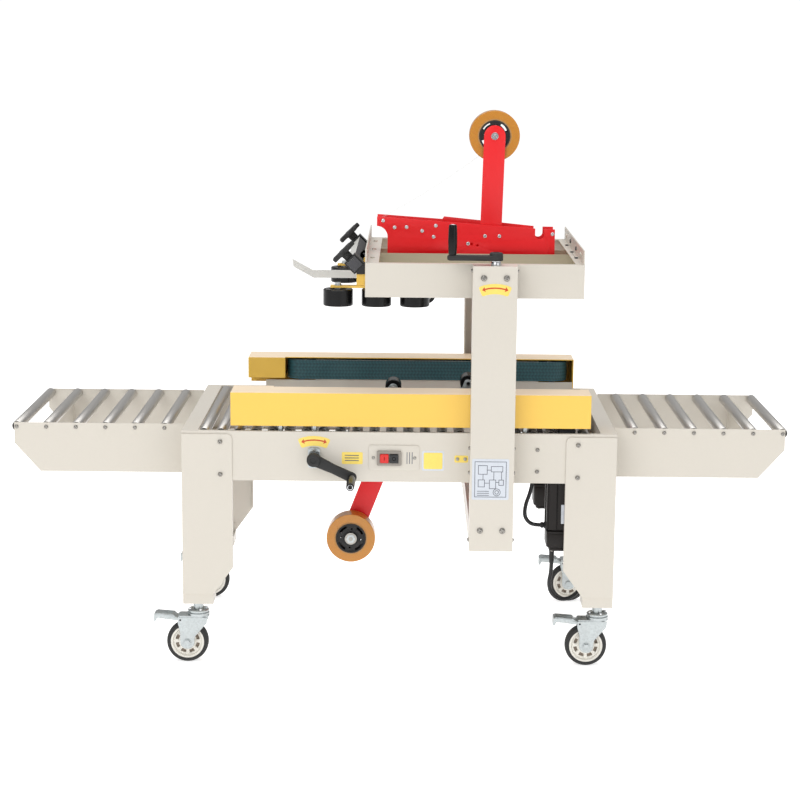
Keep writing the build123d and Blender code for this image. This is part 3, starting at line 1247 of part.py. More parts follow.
def write_node(name, shapes):
    """Writes one node as a STEP file."""
    solids = [solid for shape in shapes for solid in shape.solids()]
    export_step(Compound(solids), f"parts/{name}.step")


os.makedirs("parts", exist_ok=True)
for node_name, node_shapes in all_nodes().items():
    write_node(node_name, node_shapes)
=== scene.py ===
"""Dresses the carton sealer: painted sheet metal, rollers, belts, tape, cranks, casters and leads.

Every length is in metres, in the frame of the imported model: +X runs with the cartons, -Y faces
the controls and +Z is up. Places come from the boxes of the CAD nodes.
"""

from __future__ import annotations

import json
import logging
import math
from collections.abc import Callable, Iterable, Sequence
from dataclasses import dataclass
from enum import Enum
from typing import Any

import bmesh
import bpy
from mathutils import Matrix, Vector

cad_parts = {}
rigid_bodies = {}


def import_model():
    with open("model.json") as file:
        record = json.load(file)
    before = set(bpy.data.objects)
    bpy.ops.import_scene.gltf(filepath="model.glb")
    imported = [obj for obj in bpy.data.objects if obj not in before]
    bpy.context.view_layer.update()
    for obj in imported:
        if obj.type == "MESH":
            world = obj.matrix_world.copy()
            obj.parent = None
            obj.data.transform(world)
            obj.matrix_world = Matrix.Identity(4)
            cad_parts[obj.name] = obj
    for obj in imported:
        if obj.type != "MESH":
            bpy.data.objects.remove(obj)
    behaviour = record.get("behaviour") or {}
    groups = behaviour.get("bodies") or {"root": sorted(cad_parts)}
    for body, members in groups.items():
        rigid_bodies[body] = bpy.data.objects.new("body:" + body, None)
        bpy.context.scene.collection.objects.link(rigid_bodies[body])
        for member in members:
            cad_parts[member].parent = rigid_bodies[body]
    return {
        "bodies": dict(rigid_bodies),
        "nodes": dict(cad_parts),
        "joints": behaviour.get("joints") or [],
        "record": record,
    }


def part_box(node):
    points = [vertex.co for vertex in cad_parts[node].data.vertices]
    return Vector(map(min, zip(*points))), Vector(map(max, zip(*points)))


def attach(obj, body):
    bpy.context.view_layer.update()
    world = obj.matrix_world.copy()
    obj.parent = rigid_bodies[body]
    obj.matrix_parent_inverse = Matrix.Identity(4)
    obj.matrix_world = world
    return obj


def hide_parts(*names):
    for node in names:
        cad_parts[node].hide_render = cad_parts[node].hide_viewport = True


LOG = logging.getLogger("carton_sealer")

Point2 = tuple[float, float]
Point3 = tuple[float, float, float]
Colour = tuple[float, float, float]
Ring = list[bmesh.types.BMVert]

SIDES = {"front": -1.0, "rear": 1.0}
ENDS = ("infeed", "outfeed")
NODES: dict[str, bpy.types.Object] = {}


# ---- small helpers
def linear(code: str) -> Colour:
    """Gives the linear colour of a hex code such as e5dfd3.

    Args:
        code: six hex digits of an sRGB colour.

    Returns:
        Red, green and blue in linear light.
    """
    parts = [int(code[k : k + 2], 16) / 255 for k in (0, 2, 4)]
    red, green, blue = (c / 12.92 if c <= 0.04045 else ((c + 0.055) / 1.055) ** 2.4 for c in parts)
    return (red, green, blue)


def shade(colour: Colour, share: float) -> Colour:
    """Multiplies a colour by a share, held below one."""
    red, green, blue = (min(1.0, c * share) for c in colour)
    return (red, green, blue)


def middle(node: str) -> Vector:
    """Centre of a CAD node's box."""
    low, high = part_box(node)
    return (low + high) / 2


def extent(node: str) -> Vector:
    """Size of a CAD node's box."""
    low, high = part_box(node)
    return high - low


def polar(centre: Point2, radius: float, degrees: float) -> Point2:
    """Gives the point at a distance and an angle from a centre."""
    angle = math.radians(degrees)
    return (centre[0] + radius * math.cos(angle), centre[1] + radius * math.sin(angle))


def arc(centre: Point2, radius: float, start: float, end: float, steps: int) -> list[Point2]:
    """Gives the points of an arc between two angles in degrees."""
    return [polar(centre, radius, start + (end - start) * k / steps) for k in range(steps + 1)]


def circle(centre: Point2, radius: float, steps: int = 24) -> list[Point2]:
    """Gives the points of a round outline."""
    return arc(centre, radius, 0.0, 360.0, steps)[:-1]


def corners(left: float, low: float, right: float, high: float) -> list[Point2]:
    """Gives the corners of a rectangle."""
    return [(left, low), (right, low), (right, high), (left, high)]


def face_corners(low: Vector, high: Vector, grow: float = 0.0) -> list[Point2]:
    """Gives the corners of a box seen from the front, moved outwards."""
    return corners(low.x - grow, low.z - grow, high.x + grow, high.z + grow)


def face_centre(low: Vector, high: Vector) -> Point2:
    """Gives the middle of a box seen from the front."""
    return ((low.x + high.x) / 2, (low.z + high.z) / 2)


def both_ends(half: Sequence[Point2], low: float, high: float) -> list[Point2]:
    """Makes a symmetric profile.

    Args:
        half: radii with their distances from the end, from the first end to the middle.
        low: place of one end.
        high: place of the other end.

    Returns:
        Radius and place of every point from end to end.
    """
    first = [(radius, low + inset) for radius, inset in half]
    return first + [(radius, high - inset) for radius, inset in reversed(half)]


def rounded(points: Sequence[Point2], radius: float | Sequence[float], steps: int = 5) -> list[Point2]:
    """Rounds the corners of an outline.

    Args:
        points: corners of the outline, in order.
        radius: one radius, or one for each corner.
        steps: points along each corner's arc, less one.

    Returns:
        The outline with an arc at each corner that has a radius.
    """
    radii = [radius] * len(points) if isinstance(radius, (int, float)) else list(radius)
    out: list[Point2] = []
    for k, corner in enumerate(points):
        here = Vector(corner)
        back = Vector(points[k - 1]) - here
        onward = Vector(points[(k + 1) % len(points)]) - here
        if radii[k] <= 0 or back.angle(onward, math.pi) > math.radians(178):
            out.append(corner)
            continue
        half = back.angle(onward) / 2
        reach = min(radii[k] / math.tan(half), back.length * 0.49, onward.length * 0.49)
        size = reach * math.tan(half)
        centre = here + (back.normalized() + onward.normalized()).normalized() * size / math.sin(half)
        start = here + back.normalized() * reach - centre
        sweep = start.angle_signed(here + onward.normalized() * reach - centre)
        for step in range(steps + 1):
            turned = Matrix.Rotation(-sweep * step / steps, 2) @ start
            out.append((centre.x + turned.x, centre.y + turned.y))
    return out


def slotted(centre: Point2, radius: float, width: float, start: float, end: float) -> list[Point2]:
    """Gives the outline of a curved slot about a centre, between two angles in degrees."""
    outer = arc(centre, radius + width / 2, start, end, 6)
    return outer + arc(centre, radius - width / 2, end, start, 6)


class Axis(Enum):
    """Direction along which a shape is drawn out or turned."""

    X = "x"
    Y = "y"
    Z = "z"

    def place(self, across: float, up: float, along: float) -> Vector:
        """Puts two coordinates of the section and one along the axis in the row frame."""
        if self is Axis.X:
            return Vector((along, across, up))
        if self is Axis.Y:
            return Vector((across, along, up))
        return Vector((across, up, along))

    def split(self, point: Vector) -> tuple[float, float, float]:
        """Gives the two section coordinates of a point and the one along the axis."""
        if self is Axis.X:
            return point.y, point.z, point.x
        if self is Axis.Y:
            return point.x, point.z, point.y
        return point.x, point.y, point.z


# ---- shader building
class Wire:
    """Output of a shader node; arithmetic on it adds Math nodes."""

    def __init__(self, graph: Graph, socket: bpy.types.NodeSocket) -> None:
        """Keeps the graph and the socket."""
        self.graph = graph
        self.socket = socket

    def math(self, operation: str, *others: Wire | float, flipped: bool = False) -> Wire:
        """Adds a Math node.

        Args:
            operation: name of the Math operation.
            others: the other operands.
            flipped: whether this wire is the second operand.

        Returns:
            The node's output.
        """
        operands: list[Wire | float] = [self, *others]
        if flipped:
            operands.reverse()
        return self.graph.node("ShaderNodeMath", {"operation": operation}, dict(enumerate(operands)))

    def __add__(self, other: Wire | float) -> Wire:
        """Sum."""
        return self.math("ADD", other)

    def __radd__(self, other: float) -> Wire:
        """Sum with a number on the left."""
        return self.math("ADD", other)

    def __sub__(self, other: Wire | float) -> Wire:
        """Difference."""
        return self.math("SUBTRACT", other)

    def __rsub__(self, other: float) -> Wire:
        """Difference from a number."""
        return self.math("SUBTRACT", other, flipped=True)

    def __mul__(self, other: Wire | float) -> Wire:
        """Product."""
        return self.math("MULTIPLY", other)

    def __rmul__(self, other: float) -> Wire:
        """Product with a number on the left."""
        return self.math("MULTIPLY", other)

    def sine(self) -> Wire:
        """Sine."""
        return self.math("SINE")


class Graph:
    """Node tree of one material, ending in a principled shader."""

    def __init__(self, name: str) -> None:
        """Starts a material with a principled shader."""
        self.material = bpy.data.materials.new(name)
        self.material.use_nodes = True
        self.tree = self.material.node_tree
        self.tree.nodes.clear()
        self.shader = self.tree.nodes.new("ShaderNodeBsdfPrincipled")
        end = self.tree.nodes.new("ShaderNodeOutputMaterial")
        self.tree.links.new(self.shader.outputs[0], end.inputs[0])

    def node(
        self,
        kind: str,
        settings: dict[str, Any] | None = None,
        inputs: dict[str | int, Any] | None = None,
        output: str | int = 0,
    ) -> Wire:
        """Adds a node.

        Args:
            kind: type name of the node.
            settings: properties set first; "stops" fills a colour ramp.
            inputs: values or wires by socket name or number.
            output: name or number of the socket that is returned.

        Returns:
            The chosen output.
        """
        made = self.tree.nodes.new(kind)
        for key, value in (settings or {}).items():
            if key == "stops":
                self._fill_ramp(made.color_ramp, value)
            else:
                setattr(made, key, value)
        for key, value in (inputs or {}).items():
            if isinstance(value, Wire):
                self.tree.links.new(value.socket, made.inputs[key])
            else:
                made.inputs[key].default_value = value
        return Wire(self, made.outputs[output])

    @staticmethod
    def _fill_ramp(ramp: bpy.types.ColorRamp, stops: Sequence[tuple[float, float]]) -> None:
        """Gives a ramp its grey stops."""
        while len(ramp.elements) < len(stops):
            ramp.elements.new(0.5)
        for element, (place, grey) in zip(ramp.elements, stops):
            element.position = place
            element.color = (grey, grey, grey, 1.0)

    def place(self) -> Wire:
        """Position on the piece, in the row frame."""
        return self.node("ShaderNodeTexCoord", output="Object")

    def parts(self, vector: Wire) -> tuple[Wire, Wire, Wire]:
        """X, Y and Z of a vector."""
        first = self.node("ShaderNodeSeparateXYZ", inputs={0: vector})
        outputs = first.socket.node.outputs
        return first, Wire(self, outputs[1]), Wire(self, outputs[2])

    def stretch(self, vector: Wire, by: Point3) -> Wire:
        """Vector multiplied by a fixed one."""
        return self.node("ShaderNodeVectorMath", {"operation": "MULTIPLY"}, {0: vector, 1: by})

    def noise(self, vector: Wire, scale: float, detail: float = 2.0) -> Wire:
        """Soft noise between zero and one."""
        return self.node("ShaderNodeTexNoise", {}, {"Vector": vector, "Scale": scale, "Detail": detail})

    def ring_noise(self, distance: Wire, detail: float) -> Wire:
        """Noise that changes with one distance only."""
        inputs = {"W": distance, "Detail": detail}
        return self.node("ShaderNodeTexNoise", {"noise_dimensions": "1D"}, inputs)

    def mix(self, first: Colour | Wire, second: Colour | Wire, factor: Wire | float) -> Wire:
        """Blends two colours.

        Args:
            first: colour at factor zero.
            second: colour at factor one.
            factor: share of the second colour.

        Returns:
            The blended colour.
        """
        sides = [c if isinstance(c, Wire) else (*c, 1.0) for c in (first, second)]
        inputs = {0: factor, 6: sides[0], 7: sides[1]}
        return self.node("ShaderNodeMix", {"data_type": "RGBA"}, inputs, output=2)

    def bump(self, height: Wire, strength: float, distance: float) -> None:
        """Feeds a height into the shader's normal."""
        inputs = {"Strength": strength, "Distance": distance, "Height": height}
        self.put("Normal", self.node("ShaderNodeBump", {}, inputs))

    def put(self, name: str, value: Any) -> None:
        """Sets or links a socket of the shader."""
        if isinstance(value, Wire):
            self.tree.links.new(value.socket, self.shader.inputs[name])
        elif name.endswith("Color"):
            self.shader.inputs[name].default_value = (*value, 1.0)
        else:
            self.shader.inputs[name].default_value = value


# ---- finishes
SOFT_BANDS = 9.0


@dataclass(frozen=True)
class Finish:
    """Surface finish; each kind below draws its own nodes."""

    name: str
    colour: Colour

    def draw(self, graph: Graph) -> None:
        """Sets the plain colour."""
        graph.put("Base Color", self.colour)

    def material(self) -> bpy.types.Material:
        """Material of this finish, made once."""
        found = bpy.data.materials.get(self.name)
        if found is not None:
            return found
        graph = Graph(self.name)
        self.draw(graph)
        return graph.material


@dataclass(frozen=True)
class PowderCoat(Finish):
    """Baked powder paint with a faint orange peel and slow tint changes."""

    roughness: float = 0.40
    peel: float = 0.10
    tint: float = 0.035

    def draw(self, graph: Graph) -> None:
        """Draws tint, gloss changes and peel."""
        place = graph.place()
        slow = graph.noise(place, 3.0, 3.0)
        peel = graph.noise(place, 620.0, 2.0)
        speckle = graph.noise(place, 140.0, 3.0)
        base = graph.mix(shade(self.colour, 1 - self.tint), shade(self.colour, 1 + self.tint), slow)
        graph.put("Base Color", graph.mix(base, shade(self.colour, 0.93), speckle * 0.35))
        graph.put("Roughness", self.roughness - 0.05 + peel * 0.10)
        graph.put("Specular IOR Level", 0.45)
        graph.put("Coat Roughness", 0.25)
        graph.put("Coat Weight", 0.15)
        graph.bump(peel, self.peel, 0.0004)


@dataclass(frozen=True)
class TurnedMetal(Finish):
    """Turned or drawn metal with fine bands along one axis."""

    axis: Axis = Axis.Y
    roughness: float = 0.30
    bands: float = 900.0
    strength: float = 0.12

    def draw(self, graph: Graph) -> None:
        """Draws fine bands, smudges and bump."""
        place = graph.place()
        stretch = tuple(self.axis.place(SOFT_BANDS, SOFT_BANDS, self.bands))
        band = graph.noise(graph.stretch(place, stretch), 1.0, 2.0)
        smudge = graph.noise(place, 22.0, 4.0)
        base = graph.mix(shade(self.colour, 0.86), shade(self.colour, 1.08), band)
        graph.put("Base Color", graph.mix(base, shade(self.colour, 0.80), smudge * 0.30))
        graph.put("Metallic", 1.0)
        graph.put("Roughness", self.roughness - 0.07 + band * 0.10 + smudge * 0.08)
        graph.bump(band, self.strength, 0.0002)


@dataclass(frozen=True)
class Zinc(Finish):
    """Galvanised steel with a pale spangle."""

    roughness: float = 0.34

    def draw(self, graph: Graph) -> None:
        """Draws spangle cells and uneven gloss."""
        place = graph.place()
        cells = graph.node("ShaderNodeTexVoronoi", {}, {"Vector": place, "Scale": 260.0}, "Color")
        grey, _, _ = graph.parts(cells)
        haze = graph.noise(place, 35.0, 3.0)
        base = graph.mix(shade(self.colour, 0.84), shade(self.colour, 1.1), grey * 0.7)
        graph.put("Base Color", graph.mix(base, shade(self.colour, 0.75), haze * 0.3))
        graph.put("Metallic", 0.95)
        graph.put("Roughness", self.roughness - 0.06 + grey * 0.12)
        graph.bump(grey, 0.08, 0.0002)


@dataclass(frozen=True)
class Moulded(Finish):
    """Moulded plastic or rubber with a fine sparked grain."""

    roughness: float = 0.42
    grain: float = 420.0
    strength: float = 0.18
    specular: float = 0.5

    def draw(self, graph: Graph) -> None:
        """Draws grain and faint wear in the gloss."""
        place = graph.place()
        grain = graph.noise(place, self.grain, 3.0)
        wear = graph.noise(place, 18.0, 3.0)
        graph.put("Base Color", graph.mix(shade(self.colour, 0.9), shade(self.colour, 1.25), grain * wear))
        graph.put("Roughness", self.roughness - 0.06 + wear * 0.12)
        graph.put("Specular IOR Level", self.specular)
        graph.bump(grain, self.strength, 0.0003)


@dataclass(frozen=True)
class GridBelt(Finish):
    """Rubber belt with a fine raised grid on its grip side."""

    pitch: float = 0.0085

    def draw(self, graph: Graph) -> None:
        """Draws the grid in gloss and bump, and in colour as painted shade in the grooves and painted
        highlight on the lands.
        """
        place = graph.place()
        x, y, z = graph.parts(place)
        turn = 2 * math.pi / self.pitch
        diagonal = ((x + y) * turn + (z * turn * 0.5).sine() * 1.4).sine()
        rows = (z * turn).sine()
        lands = (diagonal * 0.5 + rows * 0.5) * 0.5 + 0.5
        dust = graph.noise(place, 30.0, 4.0)
        # Lands lighter and grooves darker: painted highlight and painted shade of the raised grid.
        base = graph.mix(shade(self.colour, 0.55), shade(self.colour, 1.45), lands)
        graph.put("Base Color", graph.mix(base, linear("5f7f84"), dust * 0.22))
        graph.put("Roughness", 0.62 - lands * 0.16)
        graph.bump(lands, 0.5, 0.0006)


@dataclass(frozen=True)
class WoundTape(Finish):
    """Roll of tape: fine rings on its sides about the roll's own centre."""

    centre: Point2 = (0.0, 0.0)

    def draw(self, graph: Graph) -> None:
        """Draws rings by radius, with a glossy film."""
        place = graph.place()
        x, _, z = graph.parts(place)
        dx = x - self.centre[0]
        dz = z - self.centre[1]
        radius = (dx * dx + dz * dz).math("SQRT")
        rings = graph.ring_noise(radius * 2600.0, 2.0)
        slow = graph.ring_noise(radius * 260.0, 1.0)
        base = graph.mix(shade(self.colour, 0.72), shade(self.colour, 1.22), rings)
        graph.put("Base Color", graph.mix(base, linear("a8681c"), slow * 0.45))
        graph.put("Roughness", 0.22 + rings * 0.16)
        graph.put("Coat Weight", 0.4)
        graph.put("Coat Roughness", 0.12)
        graph.put("Subsurface Weight", 0.15)
        graph.put("Subsurface Radius", (0.004, 0.002, 0.001))
        graph.bump(rings, 0.12, 0.0002)


@dataclass(frozen=True)
class Film(Finish):
    """Clear adhesive film, nearly invisible face on."""

    alpha: float = 0.07

    def draw(self, graph: Graph) -> None:
        """Draws a thin clear film with faint streaks."""
        streaks = graph.noise(graph.stretch(graph.place(), (4.0, 300.0, 4.0)), 1.0, 2.0)
        graph.put("Base Color", self.colour)
        graph.put("Roughness", 0.12)
        graph.put("Alpha", self.alpha + streaks * 0.08)


@dataclass(frozen=True)
class Backdrop(Finish):
    """Matt studio floor."""

    def draw(self, graph: Graph) -> None:
        """Draws an even matt white."""
        graph.put("Base Color", self.colour)
        graph.put("Roughness", 0.9)
        graph.put("Specular IOR Level", 0.0)
        graph.put("Emission Color", (1.0, 1.0, 1.0))
        graph.put("Emission Strength", 0.66)


BEIGE = PowderCoat("beige_powder", linear("d1cbc0"))
# Darker beige for the inner rails of the head: painted shade between the rails.
RAIL_PAINTED_SHADE = PowderCoat("rail_painted_shade_powder", linear("b1a78e"))
YELLOW = PowderCoat("yellow_powder", linear("f2c657"), roughness=0.34)
RED = PowderCoat("red_powder", linear("ee0d18"), roughness=0.38)
BLACK_COAT = PowderCoat("black_powder", linear("161618"), roughness=0.34, peel=0.16)
ROLLER_STEEL = TurnedMetal("roller_steel", linear("c9c6c2"), roughness=0.36, strength=0.06)
TURNED_Z = TurnedMetal("turned_upright", linear("c8c9cb"), axis=Axis.Z, roughness=0.20)
TURNED_Y = TurnedMetal("turned_across", linear("d2d3d5"), axis=Axis.Y, roughness=0.18)
PLATED: dict[str, Any] = {"axis": Axis.Z, "bands": 300.0, "strength": 0.03}
BRIGHT = TurnedMetal("bright_plate", linear("dcdde0"), roughness=0.14, **PLATED)
# Paler yellow for the tops of the drive covers: a painted highlight where light falls on them.
YELLOW_PAINTED_HIGHLIGHT = PowderCoat("painted_highlight_powder", linear("fde6c6"), roughness=0.30)
# Grey-brown disc inside the caster rims: painted shade seen through the slots.
RIM_SHADE = Moulded("rim_shade", linear("8d8074"), roughness=0.6)
ZINC = Zinc("zinc_plate", linear("bfc5c6"))
SCREW_ZINC = TurnedMetal("screw_zinc", linear("a9a6a0"), axis=Axis.Y, roughness=0.28, bands=1500.0)
BOLT = TurnedMetal("bolt_steel", linear("96938e"), roughness=0.2, **PLATED)
# Dark steel of the chain, sprockets, blocks and screws; also laid inside the drive bases as painted shade.
DARK_STEEL_AND_PAINTED_SHADE = Zinc("dark_steel", linear("4d4f52"), roughness=0.42)
BLACK = Moulded("black_plastic", linear("111112"), roughness=0.34, specular=0.22)
GRIP_BLACK = Moulded("grip_plastic", linear("0e0e0f"), roughness=0.22, strength=0.08, specular=0.25)
TYRE = Moulded("tyre_rubber", linear("0f0f10"), roughness=0.6, grain=260.0, specular=0.2)
ROLLER_BLACK = Moulded("press_rubber", linear("0f0f10"), roughness=0.24, strength=0.10, specular=0.25)
MOTOR_BLACK = Moulded("motor_casting", linear("1c1816"), grain=700.0, strength=0.30, specular=0.25)
RIM_WHITE = Moulded("rim_nylon", linear("e9e5dc"), roughness=0.38, strength=0.08)
GUIDE_GREY = Moulded("guide_plate", linear("d6d5d0"), roughness=0.35, strength=0.06)
BEZEL = Moulded("bezel_plastic", linear("6b6257"), roughness=0.40)
BUTTON_RED = Moulded("button_red", linear("d4201c"), roughness=0.25, strength=0.05)
BUTTON_BLACK = Moulded("button_black", linear("17181a"), roughness=0.25, strength=0.05)
LABEL_YELLOW = Moulded("label_yellow", linear("f8d768"), roughness=0.35, strength=0.03)
LABEL_WHITE = Moulded("label_white", linear("ccd1d9"), roughness=0.30, strength=0.03)
LABEL_GREY = Moulded("label_line", linear("5d626c"), roughness=0.40, strength=0.03)
LABEL_RED = Moulded("label_red", linear("c8461f"), roughness=0.35, strength=0.03)
CARDBOARD = Moulded("card_core", linear("b98d5c"), roughness=0.8, grain=900.0, specular=0.1)
BELT = GridBelt("grid_belt", linear("1d4a51"))
SHEATH = Moulded("lead_sheath", linear("18191b"), roughness=0.45, grain=240.0)
FILM = Film("clear_film", linear("f2f0ea"))
FLOOR = Backdrop("studio_floor", (0.9, 0.9, 0.9))


# ---- mesh building
class Shape:
    """Mesh under construction; new faces take the current finish and frame."""

    def __init__(self) -> None:
        """Starts an empty mesh."""
        self.bm = bmesh.new()
        self.finishes: list[Finish] = []
        self.index = 0
        self.frame = Matrix.Identity(4)

    def use(self, finish: Finish) -> Shape:
        """Makes a finish the current one."""
        if finish not in self.finishes:
            self.finishes.append(finish)
        self.index = self.finishes.index(finish)
        return self

    def at(self, frame: Matrix) -> Shape:
        """Makes a frame the current one."""
        self.frame = frame
        return self

    def ring(self, points: Iterable[Vector]) -> Ring:
        """Adds vertices in the current frame."""
        return [self.bm.verts.new(self.frame @ point) for point in points]

    def face(self, ring: Sequence[bmesh.types.BMVert]) -> None:
        """Adds a face."""
        made = self.bm.faces.new(ring)
        made.material_index = self.index
        made.smooth = True

    def bridge(self, first: Ring, second: Ring) -> None:
        """Joins two closed rings of equal length with quads."""
        count = len(first)
        for k in range(count):
            self.face((first[k], first[(k + 1) % count], second[(k + 1) % count], second[k]))

    def prism(self, outline: Sequence[Point2], axis: Axis, start: float, end: float) -> Shape:
        """Draws an outline out along an axis, with flat caps.

        Args:
            outline: points of the section.
            axis: direction of drawing out.
            start: place of the first cap.
            end: place of the last cap.

        Returns:
            The shape itself.
        """
        low = self.ring(axis.place(u, v, start) for u, v in outline)
        high = self.ring(axis.place(u, v, end) for u, v in outline)
        self.bridge(low, high)
        self.face(low[::-1])
        self.face(high)
        return self

    def block(self, low: Sequence[float], high: Sequence[float]) -> Shape:
        """Adds a block between two corners."""
        return self.prism(corners(low[0], low[1], high[0], high[1]), Axis.Z, low[2], high[2])

    def lathe(
        self,
        profile: Sequence[Point2],
        axis: Axis,
        centre: Point2,
        steps: int = 40,
        closed: bool = False,
    ) -> Shape:
        """Turns a profile about an axis.

        Args:
            profile: radius and place along the axis, in order.
            axis: direction of the axis.
            centre: section coordinates of the axis.
            steps: number of facets around.
            closed: whether the profile's ends are joined, as in a ring.

        Returns:
            The shape itself.
        """
        rings: list[Ring] = []
        for radius, along in profile:
            if radius <= 1e-6:
                rings.append(self.ring([axis.place(centre[0], centre[1], along)]))
                continue
            rings.append(self.ring(axis.place(u, v, along) for u, v in circle(centre, radius, steps)))
        pairs = list(zip(rings, rings[1:]))
        if closed:
            pairs.append((rings[-1], rings[0]))
        for first, second in pairs:
            if len(first) == 1 and len(second) == 1:
                continue
            if len(first) == 1 or len(second) == 1:
                pole, rim = (first[0], second) if len(first) == 1 else (second[0], first)
                for k in range(len(rim)):
                    self.face((pole, rim[k], rim[(k + 1) % len(rim)]))
            else:
                self.bridge(first, second)
        return self

    def rod(
        self, axis: Axis, centre: Point2, radius: float, start: float, end: float, edge: float = 0.0006
    ) -> Shape:
        """Adds a round bar with eased ends."""
        step = math.copysign(edge, end - start)
        profile = both_ends([(0.0, 0.0), (radius - edge, 0.0), (radius, step)], start, end)
        return self.lathe(profile, axis, centre)

    def hexagon(self, axis: Axis, centre: Point2, radius: float, start: float, end: float) -> Shape:
        """Adds a six-sided bar."""
        return self.prism(circle(centre, radius, 6), axis, start, end)

    def socket_head(self, axis: Axis, centre: Point2, radius: float, start: float, end: float) -> Shape:
        """Adds a domed screw head with a hexagonal recess, standing from start to end."""
        tall = end - start
        dome = [(radius, start), (radius, start + tall * 0.35), (radius * 0.88, start + tall * 0.75)]
        dome += [(radius * 0.62, end)]
        rings = [self.ring(axis.place(u, v, a) for u, v in circle(centre, r, 24)) for r, a in dome]
        for first, second in zip(rings, rings[1:]):
            self.bridge(first, second)
        recess = self._hexagonal(centre, radius * 0.46)
        lip = self.ring(axis.place(u, v, end) for u, v in recess)
        floor = self.ring(axis.place(u, v, start + tall * 0.3) for u, v in recess)
        self.bridge(rings[-1], lip)
        self.bridge(lip, floor)
        self.face(floor)
        return self

    @staticmethod
    def _hexagonal(centre: Point2, radius: float) -> list[Point2]:
        """Hexagon with as many points as a round ring."""
        points = circle(centre, radius, 6)
        out: list[Point2] = []
        for here, onward in zip(points, points[1:] + points[:1]):
            for share in (0.0, 0.25, 0.5, 0.75):
                u, v = ((1 - share) * a + share * b for a, b in zip(here, onward))
                out.append((u, v))
        return out

    def plate(
        self,
        outline: Sequence[Point2],
        axis: Axis,
        start: float,
        end: float,
        holes: Sequence[Sequence[Point2]] = (),
        edge: float = 0.0005,
    ) -> Shape:
        """Adds a flat plate with holes and eased edges, filled as a flat curve.

        Args:
            outline: points of the plate's edge.
            axis: direction of its thickness.
            start: one face.
            end: the other face.
            holes: outlines of the holes.
            edge: size of the eased edge.

        Returns:
            The shape itself.
        """
        thick = abs(end - start)
        curve = bpy.data.curves.new("outline", "CURVE")
        curve.dimensions = "2D"
        curve.fill_mode = "BOTH"
        curve.extrude = thick / 2 - edge
        curve.bevel_depth = edge
        curve.bevel_resolution = 1
        curve.offset = -edge
        for loop in (outline, *holes):
            spline = curve.splines.new("POLY")
            spline.points.add(len(loop) - 1)
            for point, (u, v) in zip(spline.points, loop):
                point.co = (u, v, 0.0, 1.0)
            spline.use_cyclic_u = True
        holder = bpy.data.objects.new("outline", curve)
        mesh = bpy.data.meshes.new_from_object(holder)
        half = (start + end) / 2
        verts = self.ring(axis.place(v.co.x, v.co.y, half + v.co.z) for v in mesh.vertices)
        for polygon in mesh.polygons:
            self.face([verts[k] for k in polygon.vertices])
        bpy.data.objects.remove(holder)
        bpy.data.curves.remove(curve)
        bpy.data.meshes.remove(mesh)
        return self

    def tube(self, path: Sequence[Vector], radii: Sequence[float], steps: int = 14) -> Shape:
        """Adds a round tube along a path.

        Args:
            path: centres of the rings.
            radii: radius at each centre.
            steps: number of facets around.

        Returns:
            The shape itself.
        """
        side = Vector((0.0, 1.0, 0.0))
        rings: list[Ring] = []
        for k, (centre, radius) in enumerate(zip(path, radii)):
            ahead = path[min(k + 1, len(path) - 1)] - path[max(k - 1, 0)]
            ahead.normalize()
            side = (side - ahead * side.dot(ahead)).normalized()
            other = ahead.cross(side)
            turn = 2 * math.pi / steps
            spokes = (side * math.cos(turn * n) + other * math.sin(turn * n) for n in range(steps))
            rings.append(self.ring(centre + spoke * radius for spoke in spokes))
        for first, second in zip(rings, rings[1:]):
            self.bridge(first, second)
        self.face(rings[0][::-1])
        self.face(rings[-1])
        return self

    def piece(
        self,
        name: str,
        body: str,
        slot: str,
        replaces: Sequence[str] = (),
        bevel: float = 0.0,
        segments: int = 2,
        angle: float = 38.0,
    ) -> bpy.types.Object:
        """Closes the mesh and makes it a piece of the model.

        Args:
            name: name of the piece.
            body: CAD body that it rides on.
            slot: material slot of the record; not used.
            replaces: CAD nodes that it stands for.
            bevel: width of the rounded edges, or zero.
            segments: facets across a rounded edge.
            angle: sharpest turn, in degrees, that stays smooth.

        Returns:
            The new object.
        """
        bmesh.ops.remove_doubles(self.bm, verts=self.bm.verts, dist=1e-7)
        bmesh.ops.recalc_face_normals(self.bm, faces=self.bm.faces)
        for edge in self.bm.edges:
            edge.smooth = not edge.is_manifold or edge.calc_face_angle(0.0) < math.radians(angle)
        mesh = bpy.data.meshes.new(name)
        self.bm.to_mesh(mesh)
        self.bm.free()
        for finish in self.finishes:
            mesh.materials.append(finish.material())
        made = bpy.data.objects.new(name, mesh)
        bpy.context.scene.collection.objects.link(made)
        if bevel > 0:
            ease = made.modifiers.new("edges", "BEVEL")
            ease.width = bevel
            ease.segments = segments
            ease.limit_method = "ANGLE"
            ease.angle_limit = math.radians(angle)
            ease.harden_normals = True
        if replaces:
            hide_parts(*replaces)
        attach(made, body)
        return made


